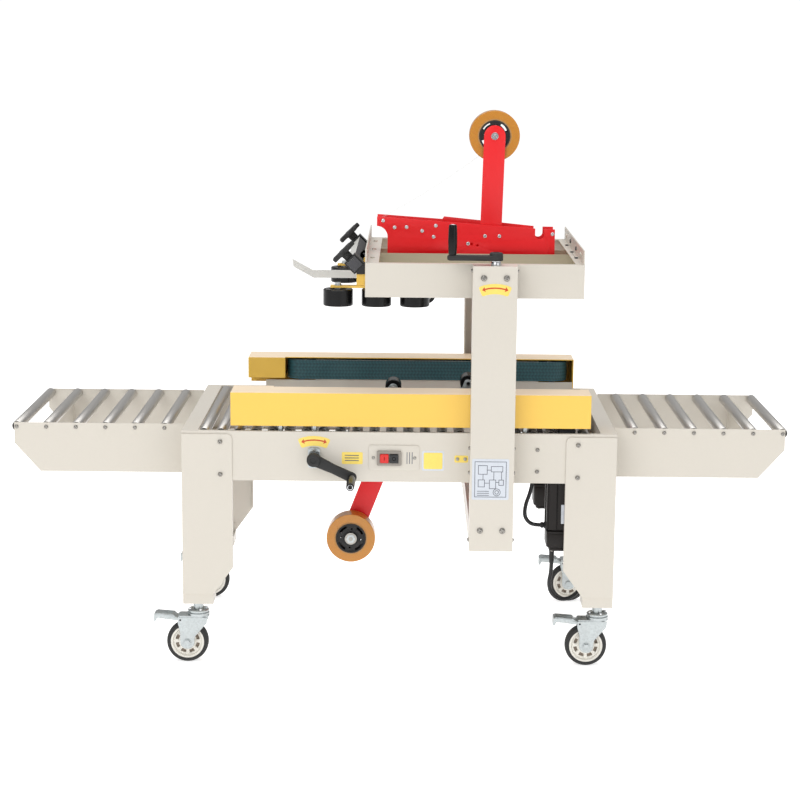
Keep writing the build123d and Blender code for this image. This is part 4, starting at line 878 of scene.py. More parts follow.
@dataclass
class Folded:
    """Sheet metal of one CAD node: its plates joined into folded sheets with rounded bends.

    A region is a low corner, a high corner and the finish of the faces whose centre lies between.
    """

    node: str
    body: str
    slot: str
    finish: Finish
    regions: Sequence[tuple[Point3, Point3, Finish]] = ()
    bevel: float = 0.0011

    def build(self) -> bpy.types.Object:
        """Joins the plates, sorts the finishes and eases the edges."""
        shape = Shape()
        shape.use(self.finish)
        for _, _, finish in self.regions:
            shape.use(finish)
        joined = self._joined()
        shape.bm.from_mesh(joined)
        bpy.data.meshes.remove(joined)
        flat = math.radians(1.0)
        bmesh.ops.dissolve_limit(shape.bm, angle_limit=flat, verts=shape.bm.verts, edges=shape.bm.edges)
        for face in shape.bm.faces:
            face.smooth = True
            face.material_index = self._index(shape, face.calc_center_median())
        return shape.piece(self.node + "_sheet", self.body, self.slot, [self.node], bevel=self.bevel)

    def _index(self, shape: Shape, centre: Vector) -> int:
        """Finish number of a face."""
        for low, high, finish in self.regions:
            if all(low[k] <= centre[k] <= high[k] for k in range(3)):
                return shape.finishes.index(finish)
        return 0

    def _joined(self) -> bpy.types.Mesh:
        """Union of the node's solids as a new mesh."""
        mesh = NODES[self.node].data.copy()
        mesh.materials.clear()
        work = bmesh.new()
        work.from_mesh(mesh)
        bmesh.ops.remove_doubles(work, verts=work.verts, dist=1e-6)
        work.to_mesh(mesh)
        work.free()
        holder = bpy.data.objects.new("joining", mesh)
        tool = bpy.data.objects.new("tool", bpy.data.meshes.new("tool"))
        for each in (holder, tool):
            bpy.context.scene.collection.objects.link(each)
        union = holder.modifiers.new("union", "BOOLEAN")
        union.operation = "UNION"
        union.solver = "EXACT"
        union.use_self = True
        union.object = tool
        graph = bpy.context.evaluated_depsgraph_get()
        result = bpy.data.meshes.new_from_object(holder.evaluated_get(graph))
        spare = tool.data
        for each in (holder, tool):
            bpy.data.objects.remove(each)
        bpy.data.meshes.remove(mesh)
        bpy.data.meshes.remove(spare)
        return result


def solid_boxes(node: str) -> list[tuple[Vector, Vector]]:
    """Boxes of a node's separate solids, sorted by X, Y and Z.

    Args:
        node: name of the CAD node.

    Returns:
        Low and high corner of each group of faces that share corners.
    """
    work = bmesh.new()
    work.from_mesh(NODES[node].data)
    bmesh.ops.remove_doubles(work, verts=work.verts, dist=1e-6)
    seen: set[int] = set()
    boxes: list[tuple[Vector, Vector]] = []
    work.verts.ensure_lookup_table()
    for vert in work.verts:
        if vert.index in seen:
            continue
        seen.add(vert.index)
        stack, low, high = [vert], vert.co.copy(), vert.co.copy()
        while stack:
            here = stack.pop()
            low = Vector(map(min, low, here.co))
            high = Vector(map(max, high, here.co))
            for edge in here.link_edges:
                other = edge.other_vert(here)
                if other.index not in seen:
                    seen.add(other.index)
                    stack.append(other)
        boxes.append((low, high))
    work.free()
    return sorted(boxes, key=lambda pair: tuple(round(c, 5) for c in (*pair[0], *pair[1])))


# ---- studio
@dataclass
class Studio:
    """Camera, lights and floor."""

    camera_place: Point3 = (0.024, -4.8688, 1.4867)
    yaw: float = -0.005
    pitch: float = 0.182
    roll: float = -0.009
    lens: float = 89.51
    floor_half: float = 9.0
    sky: float = 0.44
    seen_sky: float = 1.05

    def build(self) -> None:
        """Makes the camera, the lights and the floor."""
        self._camera()
        self._world()
        self._lamp("key", (-3.6, -6.8, 5.0), 5.2, 198.0)
        self._lamp("fill", (5.6, -6.4, 3.0), 5.6, 86.0)
        self._lamp("top", (0.0, 1.0, 7.0), 7.0, 350.0)
        shape = Shape().use(FLOOR)
        half = self.floor_half
        shape.face(shape.ring(Vector((x, y, 0.0)) for x, y in corners(-half, -half, half, half)))
        mesh = bpy.data.meshes.new("floor")
        shape.bm.to_mesh(mesh)
        shape.bm.free()
        mesh.materials.append(FLOOR.material())
        floor = bpy.data.objects.new("floor", mesh)
        bpy.context.scene.collection.objects.link(floor)

    def _camera(self) -> None:
        """Makes the camera and sets it in place."""
        level = math.cos(self.pitch)
        ahead = Vector((math.sin(self.yaw) * level, math.cos(self.yaw) * level, -math.sin(self.pitch)))
        right = Vector((math.cos(self.yaw), -math.sin(self.yaw), 0.0))
        down = ahead.cross(right)
        turned = right * math.cos(self.roll) + down * math.sin(self.roll)
        below = down * math.cos(self.roll) - right * math.sin(self.roll)
        data = bpy.data.cameras.new("camera")
        data.lens = self.lens
        data.sensor_width = 36.0
        data.clip_end = 60.0
        camera = bpy.data.objects.new("camera", data)
        columns = Matrix((turned, -below, -ahead)).transposed().to_4x4()
        camera.matrix_world = Matrix.Translation(self.camera_place) @ columns
        bpy.context.scene.collection.objects.link(camera)
        bpy.context.scene.camera = camera

    def _world(self) -> None:
        """Surrounds the scene with even white light."""
        world = bpy.data.worlds.new("studio")
        world.use_nodes = True
        tree = world.node_tree
        background = tree.nodes["Background"]
        background.inputs["Color"].default_value = (1.0, 1.0, 1.0, 1.0)
        rays = tree.nodes.new("ShaderNodeLightPath")
        level = tree.nodes.new("ShaderNodeMapRange")
        level.inputs["To Min"].default_value = self.sky
        level.inputs["To Max"].default_value = self.seen_sky
        tree.links.new(rays.outputs["Is Camera Ray"], level.inputs["Value"])
        tree.links.new(level.outputs[0], background.inputs["Strength"])
        bpy.context.scene.world = world
        bpy.context.scene.view_settings.view_transform = "Standard"

    def _lamp(self, name: str, place: Point3, size: float, power: float) -> None:
        """Adds a soft square lamp aimed at the machine's middle."""
        data = bpy.data.lights.new(name, "AREA")
        data.shape = "SQUARE"
        data.size = size
        data.energy = power
        lamp = bpy.data.objects.new(name, data)
        lamp.location = place
        lamp.rotation_mode = "QUATERNION"
        lamp.rotation_quaternion = (Vector((0.0, 0.0, 0.7)) - Vector(place)).to_track_quat("-Z", "Y")
        bpy.context.scene.collection.objects.link(lamp)


# ---- motor leads
UPPER_LEAD: tuple[Point3, ...] = (
    (0.317, -0.255, 0.458),
    (0.317, -0.255, 0.438),
    (0.311, -0.256, 0.413),
    (0.302, -0.257, 0.389),
    (0.2995, -0.256, 0.362),
    (0.308, -0.253, 0.346),
    (0.322, -0.25, 0.337),
    (0.338, -0.25, 0.337),
)
LOWER_LEAD: tuple[Point3, ...] = (
    (0.367, -0.250, 0.246),
    (0.367, -0.250, 0.222),
    (0.361, -0.250, 0.194),
    (0.368, -0.249, 0.167),
    (0.390, -0.245, 0.151),
    (0.418, -0.238, 0.154),
    (0.441, -0.231, 0.176),
    (0.454, -0.227, 0.212),
    (0.461, -0.225, 0.255),
    (0.468, -0.224, 0.302),
    (0.477, -0.224, 0.350),
    (0.488, -0.224, 0.394),
    (0.497, -0.225, 0.421),
    (0.497, -0.225, 0.440),
)


@dataclass
class MotorLeads:
    """Two leads between the front motor and the bed: ribbed conduit and a plain sheath."""

    diameter: float = 0.0095
    upper_length: float = 0.148
    lower_length: float = 0.437
    rib_pitch: float = 0.0026
    rib_depth: float = 0.0005

    def build(self) -> None:
        """Makes both leads."""
        self._conduit()
        self._sheath()

    def _spline(self, route: Sequence[Point3], name: str, thick: float) -> bpy.types.Object:
        """Smooth curve with the route's points as its control points."""
        data = bpy.data.curves.new(name, "CURVE")
        data.dimensions = "3D"
        data.resolution_u = 24
        data.bevel_depth = thick / 2
        data.bevel_resolution = 5
        data.use_fill_caps = thick > 0
        spline = data.splines.new("NURBS")
        spline.points.add(len(route) - 1)
        for point, place in zip(spline.points, route):
            point.co = (*place, 1.0)
        spline.order_u = 3
        spline.use_endpoint_u = True
        return bpy.data.objects.new(name, data)

    def _conduit(self) -> None:
        """Ribbed conduit as a tube along the smooth curve."""
        holder = self._spline(UPPER_LEAD, "conduit_line", 0.0)
        mesh = bpy.data.meshes.new_from_object(holder)
        line = [v.co.copy() for v in mesh.vertices]
        bpy.data.objects.remove(holder)
        bpy.data.meshes.remove(mesh)
        path, radii = self._ribbed(line)
        shape = Shape().use(SHEATH)
        shape.tube(path, radii, 16)
        made = shape.piece("motor_conduit", "frame", "lead_plastic", ["motor_lead_upper"], angle=80.0)

    def _ribbed(self, line: Sequence[Vector]) -> tuple[list[Vector], list[float]]:
        """Even steps along a line, with a groove between every two ribs."""
        step = self.rib_pitch / 4
        path, radii = [line[0]], [self.diameter / 2]
        carried = 0.0
        for first, second in zip(line, line[1:]):
            run = (second - first).length
            place = step - carried
            while place < run:
                path.append(first.lerp(second, place / run))
                groove = self.rib_depth if len(path) % 4 == 3 else 0.0
                radii.append(self.diameter / 2 - groove)
                place += step
            carried = run - (place - step)
        path.append(line[-1])
        radii.append(self.diameter / 2)
        return path, radii

    def _sheath(self) -> None:
        """Plain lead that loops under the motor and up behind the leg."""
        made = self._spline(LOWER_LEAD, "motor_lead", self.diameter)
        bpy.context.scene.collection.objects.link(made)
        made.data.materials.append(SHEATH.material())
        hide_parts("motor_lead_lower")
        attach(made, "frame")


# ---- sheet metal
@dataclass
class SheetMetal:
    """All folded and painted sheets of the machine."""

    head_length: float = 0.507

    def build(self) -> None:
        """Makes the sheets of the frame, the head and the drive units."""
        for node in ("bed_frame", "legs", "columns", "table_frames"):
            Folded(node, "frame", "beige_paint", BEIGE).build()
        self._head()
        for side in SIDES:
            low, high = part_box(f"drive_cover_{side}")
            # The top faces of each drive cover take the paler yellow as a painted highlight.
            top = [((low.x, low.y, high.z - 0.0004), (high.x, high.y, high.z + 0.0004), YELLOW_PAINTED_HIGHLIGHT)]
            Folded(f"drive_cover_{side}", f"drive_{side}", "yellow_paint", YELLOW, top).build()
            self._base(side)

    def _head(self) -> None:
        """Head ring in beige, press bar in black, flap guide in grey and the inner rails in a darker beige as
        painted shade.
        """
        low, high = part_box("head_frame")
        bar_right = high.x - self.head_length - 0.001
        regions = [
            ((bar_right + 0.0045, -0.2, low.z), (bar_right + 0.013, 0.2, high.z), DARK_STEEL_AND_PAINTED_SHADE),
            ((high.x - 0.013, -0.2, low.z), (high.x - 0.0035, 0.2, high.z), DARK_STEEL_AND_PAINTED_SHADE),
            # Inner rails of the head: darker beige as painted shade.
            ((bar_right + 0.005, -0.062, high.z - 0.094), (high.x - 0.005, 0.062, high.z - 0.033), RAIL_PAINTED_SHADE),
            ((low.x, -0.02, low.z), (low.x + 0.165, 0.02, high.z), GUIDE_GREY),
            ((low.x, -0.26, low.z), (bar_right, 0.26, high.z), DARK_STEEL_AND_PAINTED_SHADE),
        ]
        Folded("head_frame", "head", "beige_paint", BEIGE, regions).build()

    def _base(self, side: str) -> None:
        """Base channel in beige, its running gear in zinc, and its faces inside the channel above the floor
        in dark steel as painted shade.
        """
        low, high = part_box(f"drive_base_{side}")
        floor = high.z - 0.072
        regions = [
            ((low.x, low.y, low.z), (high.x, high.y, floor), ZINC),
            # Faces inside the channel above the floor: dark as painted shade.
            ((low.x + 0.05, low.y + 0.004, floor + 0.021), (high.x, high.y - 0.004, high.z), DARK_STEEL_AND_PAINTED_SHADE),
        ]
        Folded(f"drive_base_{side}", f"drive_{side}", "beige_paint", BEIGE, regions).build()


# ---- rollers
@dataclass
class Rollers:
    """Conveyor rollers of the bed and of both tables."""

    wall: float = 0.0015
    cap_depth: float = 0.0035
    axle: float = 0.005
    axle_long: float = 0.022
    axle_short: float = 0.004

    def build(self) -> None:
        """Makes the rollers of the bed and of the tables."""
        self._bed()
        for side in ENDS:
            for number in range(1, 7):
                self._table(f"{side}_roller_{number}")

    def _roller(self, shape: Shape, centre: Point2, radius: float, start: float, end: float) -> None:
        """Adds a tube with rolled edges and a black cap in each end."""
        edge = 0.0008
        inner = radius - self.wall
        tube = [(inner, self.cap_depth), (inner, 0.0), (radius - edge, 0.0), (radius, edge)]
        shape.use(ROLLER_STEEL).lathe(both_ends(tube, start, end), Axis.Y, centre, 36, closed=True)
        bore, seat = self.axle + 0.0002, inner - 0.0001
        for face, inward in ((start, 1.0), (end, -1.0)):
            rim = face + inward * 0.0006
            sunk = face + inward * self.cap_depth * 0.6
            back = face + inward * (self.cap_depth + 0.004)
            cap = [(bore, back), (bore, sunk), (inner * 0.72, sunk), (inner * 0.82, rim)]
            shape.use(BLACK).lathe([*cap, (seat, rim), (seat, back)], Axis.Y, centre, 32, closed=True)

    def _table(self, node: str) -> None:
        """Makes one roller of a table."""
        low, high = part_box(node)
        shape = Shape()
        self._roller(shape, face_centre(low, high), (high.z - low.z) / 2, low.y, high.y)
        shape.piece(node + "_tube", node, "zinc_steel", [node], angle=45.0)

    def _bed(self) -> None:
        """Makes the rollers of the bed and the two guide rods as one piece."""
        shape = Shape()
        for low, high in solid_boxes("bed_rollers_and_rods"):
            centre = face_centre(low, high)
            radius = (high.z - low.z) / 2
            if radius < 0.010:
                shape.use(TURNED_Y).rod(Axis.Y, centre, radius, low.y, high.y)
                continue
            wide = high.y - low.y > 0.5
            first = self.axle_long if wide or low.y < 0 else self.axle_short
            last = self.axle_long if wide or low.y > 0 else self.axle_short
            self._roller(shape, centre, radius, low.y + first, high.y - last)
            shape.use(ZINC).rod(Axis.Y, centre, self.axle, low.y, high.y)
        shape.piece("bed_rollers", "frame", "zinc_steel", ["bed_rollers_and_rods"], angle=45.0)


# ---- casters
@dataclass
class Casters:
    """Four swivel casters: pressed fork, ball race, slotted rim, tyre and brake pedal."""

    trail: float = 0.026
    slots: int = 8
    tyre: float = 0.010
    gauge: float = 0.003

    def build(self) -> None:
        """Makes the four casters."""
        for end in ENDS:
            for side in SIDES:
                tag = f"{end}_{side}"
                self._wheel(tag)
                self._fork(tag)
                self._pedal(tag)

    def _wheel(self, tag: str) -> None:
        """Makes rim, hub and tyre of one wheel."""
        node = f"caster_wheel_{tag}"
        low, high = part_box(node)
        centre = face_centre(low, high)
        radius, left, right = (high.z - low.z) / 2, low.y, high.y
        mid = (left + right) / 2
        half = (right - left) / 2
        seat = radius - self.tyre
        tyre = both_ends([(seat, 0.001), (seat + 0.003, 0.0), (radius - 0.0045, 0.0)], left, right)
        round_off, flank = 0.0035, half - 0.0008
        swell = arc((0.0, 0.0), 1.0, -90, 90, 8)
        tyre[3:3] = [(radius - round_off + round_off * u, mid + flank * v) for u, v in swell]
        shape = Shape().use(TYRE).lathe(tyre, Axis.Y, centre, 64, closed=True)
        rim = [(seat - 0.0065, 0.006), (seat - 0.004, 0.002), (seat - 0.0001, 0.002)]
        shape.use(RIM_WHITE).lathe(both_ends(rim, left, right), Axis.Y, centre, 64, closed=True)
        span = 360 / self.slots
        starts = (span * k + 9 for k in range(self.slots))
        holes = [slotted(centre, seat - 0.0145, 0.0078, start, start + span - 18) for start in starts]
        holes.append(circle(centre, 0.0062))
        # Darker disc in the middle of the web: painted shade behind the slots.
        shape.use(RIM_SHADE)
        core = circle(centre, seat - 0.0052, 64)
        shape.plate(core, Axis.Y, mid - 0.0015, mid + 0.0015, [circle(centre, 0.0155)])
        shape.use(RIM_WHITE)
        shape.plate(circle(centre, seat - 0.005, 64), Axis.Y, mid - 0.0075, mid + 0.0075, holes, edge=0.0008)
        boss = [(0.0052, 0.001), (0.012, 0.001), (0.0145, 0.004), (0.016, half - 0.006)]
        shape.lathe(both_ends(boss, left, right), Axis.Y, centre, 40, closed=True)
        shape.piece(f"wheel_{tag}_rim", f"wheel_{tag}", "tyre_rubber", [node], angle=40.0)

    def _fork(self, tag: str) -> None:
        """Makes the pressed fork, the two race cups and the wheel bolt."""
        node = f"caster_fork_{tag}"
        wheel = middle(f"caster_wheel_{tag}")
        stem_x = wheel.x + self.trail
        y = wheel.y
        race_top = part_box(node)[1].z
        shape = Shape().use(ZINC)
        lower = race_top - 0.014
        cup = [(0.0065, lower), (0.0255, lower), (0.0262, lower + 0.002), (0.0262, lower + 0.0055)]
        cup += [(0.0235, lower + 0.0066), (0.0235, lower + 0.0074), (0.0252, lower + 0.0084)]
        well = race_top - 0.0015
        cup += [(0.0252, race_top - 0.002), (0.0235, race_top), (0.0185, race_top), (0.0165, well)]
        cup += [(0.0125, well), (0.0125, race_top), (0.0065, race_top)]
        shape.lathe(cup, Axis.Z, (stem_x, y), 48, closed=True)
        half = extent(f"caster_wheel_{tag}").y / 2 + 0.0025
        edge = [(-0.048, half + 0.002), (0.010, half + 0.003), (0.026, 0.010)]
        outline = [(stem_x + u, y - v) for u, v in edge] + [(stem_x + u, y + v) for u, v in reversed(edge)]
        crown = rounded(outline, [0.006, 0.012, 0.010, 0.010, 0.012, 0.006])
        shape.plate(crown, Axis.Z, lower - 0.004, lower, [circle((stem_x, y), 0.0104)], edge=0.0008)
        self._cheeks(shape, stem_x, y, half, wheel)
        axle = (wheel.x, wheel.z)
        shape.use(ZINC).rod(Axis.Y, axle, 0.005, y - half - 0.006, y + half + 0.006)
        for sign in (-1.0, 1.0):
            face = y + sign * (half + self.gauge)
            shape.rod(Axis.Y, axle, 0.0098, face, face + sign * 0.0010, edge=0.0003)
            shape.hexagon(Axis.Y, axle, 0.0080, face + sign * 0.0010, face + sign * 0.0045)
        for k in range(4):
            stud = polar((stem_x, y), 0.0195, 90 * k + 20)
            shape.use(BRIGHT).hexagon(Axis.Z, stud, 0.0042, race_top - 0.0010, race_top + 0.0032)
        pin = (stem_x - 0.042, 0.1055)
        shape.rod(Axis.Y, pin, 0.003, y - half - self.gauge, y + half + self.gauge)
        shape.piece(f"fork_{tag}", f"caster_{tag}", "zinc_steel", [node], bevel=0.0004, angle=40.0)

    def _cheeks(self, shape: Shape, stem_x: float, y: float, half: float, wheel: Vector) -> None:
        """Adds the two side plates, which taper down to the wheel bolt."""
        top = 0.1125
        low = wheel.z - 0.0155
        outline = [(stem_x - 0.048, top), (stem_x - 0.048, 0.098), (wheel.x - 0.0165, 0.076)]
        outline += [(wheel.x - 0.0165, low), (wheel.x + 0.0165, low), (wheel.x + 0.0180, 0.064)]
        outline += [(stem_x + 0.021, 0.098), (stem_x + 0.023, top)]
        outline = rounded(outline, [0.001, 0.006, 0.030, 0.0155, 0.0155, 0.018, 0.008, 0.001], 8)
        hole = circle((wheel.x, wheel.z), 0.0049)
        for sign in (-1.0, 1.0):
            inner = y + sign * half
            shape.use(ZINC).plate(outline, Axis.Y, inner, inner + sign * self.gauge, [hole], edge=0.0008)

    def _pedal(self, tag: str) -> None:
        """Makes the brake pedal: a pressed channel with a turned-down toe."""
        node = f"caster_pedal_{tag}"
        low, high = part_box(node)
        y = (low.y + high.y) / 2
        shape = Shape().use(ZINC)
        right = high.x
        toe = [(low.x + 0.008, high.z), (low.x + 0.001, high.z - 0.002), (low.x, low.z + 0.001)]
        toe += [(low.x + 0.004, low.z), (low.x + 0.008, low.z + 0.009)]
        heel = [(right - 0.002, low.z + 0.004), (right - 0.002, low.z + 0.010)]
        heel += [(right - 0.016, high.z - 0.009), (right - 0.022, high.z - 0.003)]
        outline = [*heel, *toe, (right - 0.018, low.z + 0.004)]
        radii = [0.003, 0.003, 0.004, 0.004, 0.004, 0.003, 0.001, 0.001, 0.004, 0.004]
        outline = rounded(outline, radii)
        shape.plate(outline, Axis.Y, low.y, high.y, edge=0.0012)
        for sign in (-1.0, 1.0):
            rib = [(low.x + 0.014, high.z - 0.0015), (right - 0.026, high.z - 0.0045)]
            rib += [(right - 0.026, high.z - 0.0005), (low.x + 0.014, high.z)]
            shape.prism(rib, Axis.Y, y + sign * 0.006, y + sign * 0.009)
        shape.piece(f"pedal_{tag}_lever", f"pedal_{tag}", "zinc_steel", [node], angle=40.0)


# ---- cranks
@dataclass
class Cranks:
    """Hand cranks of the lift and of the belt width, and the rear lift screw."""

    hub: float = 0.016
    boss: float = 0.007
    tip: float = 0.012
    arm: float = 0.012
    grip: float = 0.0105
    sprocket: float = 0.018
    thread: float = 0.010
    thread_pitch: float = 0.005
    teeth: int = 16
    plate: float = 0.0063

    def build(self) -> None:
        """Makes both cranks and the rear screw."""
        self._lift()
        self._width()
        self._rear_screw()
        self._chain()

    def _screw(self, shape: Shape, centre: Point2, start: float, end: float, axis: Axis) -> None:
        """Adds a screw with rings of thread."""
        crest, root = self.thread, self.thread - 0.0008
        profile = [(0.0, start)]
        for k in range(int((end - start) / self.thread_pitch)):
            for radius, share in ((root, 0.0), (crest, 0.3), (crest, 0.6), (root, 0.9)):
                profile.append((radius, start + self.thread_pitch * (k + share)))
        profile += [(root, end), (0.0, end)]
        shape.lathe(profile, axis, centre, 20)

    def _arm(self, shape: Shape, reach: float, grip_end: float) -> None:
        """Adds arm and grip in the current frame: hub at the origin, arm along +X, grip along +Z."""
        thick = self.arm
        waist = (self.hub + self.tip) * 0.45
        neck = [(self.hub * 0.9, waist * 1.05), (reach * 0.5, waist * 0.86)]
        neck.append((reach - self.tip * 0.8, waist * 0.92))
        body = arc((0.0, 0.0), self.hub, 90, 270, 12) + [(u, -v) for u, v in neck]
        body += arc((reach, 0.0), self.tip, -90, 90, 12) + neck[::-1]
        shape.use(BLACK).plate(body, Axis.Z, 0.0, thick, edge=0.0028)
        crown = thick + self.boss
        hub = self.hub
        profile = [(0.0, 0.0), (hub - 0.0012, 0.0), (hub, 0.0012), (hub - 0.0004, crown - 0.003)]
        profile += [(hub - 0.002, crown - 0.0008), (hub - 0.005, crown), (hub * 0.45, crown)]
        profile += [(hub * 0.40, crown - 0.0018), (0.0, crown - 0.0018)]
        shape.lathe(profile, Axis.Z, (0.0, 0.0), 32)
        self._grip(shape, (reach, 0.0), grip_end)

    def _grip(self, shape: Shape, centre: Point2, end: float) -> None:
        """Adds the swelled grip, which stands on the arm, with its end cap."""
        thick = self.arm
        grip = self.grip
        length = end - thick
        profile = [(0.0, thick), (grip * 0.8, thick), (grip * 0.86, thick + 0.002)]
        for k in range(9):
            share = k / 8
            swell = 0.90 + 0.10 * math.sin(math.pi * share)
            profile.append((grip * swell, thick + 0.004 + (length - 0.008) * share))
        profile += [(grip * 0.84, end - 0.001), (grip * 0.62, end - 0.0002)]
        shape.use(GRIP_BLACK).lathe(profile, Axis.Z, centre, 32)
        cap = [(grip * 0.62, end - 0.0002), (grip * 0.52, end), (grip * 0.44, end - 0.0006)]
        shape.use(BRIGHT).lathe(cap, Axis.Z, centre, 24)
        core = [(grip * 0.44, end - 0.0006), (grip * 0.36, end - 0.0024), (0.0, end - 0.0024)]
        shape.use(GRIP_BLACK).lathe(core, Axis.Z, centre, 24)

    def _lift(self) -> None:
        """Makes the front lift screw with its crank."""
        low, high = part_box("lift_crank")
        centre = (high.x - self.hub, low.y + self.sprocket)
        column_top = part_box("columns")[1].z
        base = column_top + 0.0003
        plane = base + 0.010
        shape = Shape().use(TURNED_Z)
        self._screw(shape, centre, low.z, column_top - 0.012, Axis.Z)
        shape.rod(Axis.Z, centre, 0.0099, column_top - 0.012, base + 0.001)
        self._sprocket(shape, centre)
        shape.use(BRIGHT)
        collar = [(0.0, base), (0.0120, base), (0.0120, base + 0.006), (0.0095, base + 0.009)]
        collar += [(0.0095, plane - 0.004), (0.0115, plane - 0.002), (0.0115, plane), (0.0, plane)]
        shape.lathe(collar, Axis.Z, centre, 36)
        shape.at(Matrix.Translation((*centre, plane)) @ Matrix.Rotation(math.pi, 4, "Z"))
        self._arm(shape, high.x - self.hub - (low.x + self.tip), high.z - plane)
        shape.piece("lift_crank_handle", "lift_crank", "bright_steel", ["lift_crank"], angle=42.0)

    def _width(self) -> None:
        """Makes the width screw with its crank."""
        low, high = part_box("width_crank")
        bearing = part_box("bed_frame")[0].y - self.plate
        plane = bearing - 0.014
        centre = (low.x + self.hub, high.z - self.hub)
        run = Vector((high.x - self.tip - centre[0], low.z + self.tip - centre[1]))
        slope = math.atan2(run.y, run.x)
        shape = Shape().use(TURNED_Y)
        self._screw(shape, centre, bearing + 0.022, high.y, Axis.Y)
        shape.rod(Axis.Y, centre, 0.0099, plane, bearing + 0.022)
        collar = [(0.0, bearing), (0.012, bearing), (0.012, bearing - 0.005), (0.0105, bearing - 0.007)]
        shape.use(BRIGHT).lathe([*collar, (0.0105, plane), (0.0, plane)], Axis.Y, centre, 36)
        turned = Matrix.Rotation(math.radians(90), 4, "X") @ Matrix.Rotation(slope, 4, "Z")
        shape.at(Matrix.Translation((centre[0], plane, centre[1])) @ turned)
        self._arm(shape, run.length, plane - low.y)
        shape.piece("width_crank_handle", "width_crank", "bright_steel", ["width_crank"], angle=42.0)

    def _sprocket(self, shape: Shape, centre: Point2) -> None:
        """Adds a toothed chain wheel at the chain's height."""
        low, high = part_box("lift_chain")
        points = self.teeth * 4
        outline = []
        for k in range(points):
            radius = self.sprocket - (0.0, 0.0, 0.003, 0.003)[k % 4]
            outline.append(polar(centre, radius, 360 * k / points))
        shape.use(DARK_STEEL_AND_PAINTED_SHADE).plate(outline, Axis.Z, low.z, high.z, [circle(centre, 0.0098)], edge=0.0004)

    def _rear_screw(self) -> None:
        """Makes the rear lift screw."""
        low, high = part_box("lift_screw_rear")
        centre = ((low.x + high.x) / 2, (low.y + high.y) / 2)
        shape = Shape().use(TURNED_Z)
        self._screw(shape, centre, low.z, high.z, Axis.Z)
        self._sprocket(shape, centre)
        shape.piece("rear_lift_screw", "lift_screw_rear", "bright_steel", ["lift_screw_rear"], angle=42.0)

    def _chain(self) -> None:
        """Makes the lift chain as links along its loop."""
        low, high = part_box("lift_chain")
        centre_x = (low.x + high.x) / 2
        radius = (high.x - low.x) / 2 - 0.0015
        reach = high.y - (high.x - low.x) / 2
        straight = 2 * reach
        total = 2 * straight + 2 * math.pi * radius
        count = 2 * round(total / 0.0127 / 2)
        shape = Shape().use(DARK_STEEL_AND_PAINTED_SHADE)
        for k in range(count):
            place, heading = self._on_loop(total * k / count, centre_x, radius, reach)
            shape.at(Matrix.Translation(place.to_3d()) @ Matrix.Rotation(heading, 4, "Z"))
            thin = 0.0012 if k % 2 else 0.0021
            inset = 0.0006 if k % 2 else 0.0018
            outline = rounded(corners(-0.0064, -thin, 0.0064, thin), 0.001, 2)
            shape.prism(outline, Axis.Z, low.z + inset, high.z - inset)
        shape.piece("lift_chain_links", "frame", "dark_steel", ["lift_chain"], angle=40.0)

    @staticmethod
    def _on_loop(distance: float, centre_x: float, radius: float, reach: float) -> tuple[Vector, float]:
        """Place and heading at a distance along the chain's loop; its halves are a half turn apart."""
        straight = 2 * reach
        half, distance = divmod(distance, straight + math.pi * radius)
        angle = max(0.0, distance - straight) / radius
        place = Vector((radius * math.cos(angle), min(distance, straight) - reach + radius * math.sin(angle)))
        return Vector((centre_x, 0.0)) + place * (1 - 2 * half), angle + math.pi * (0.5 + half)


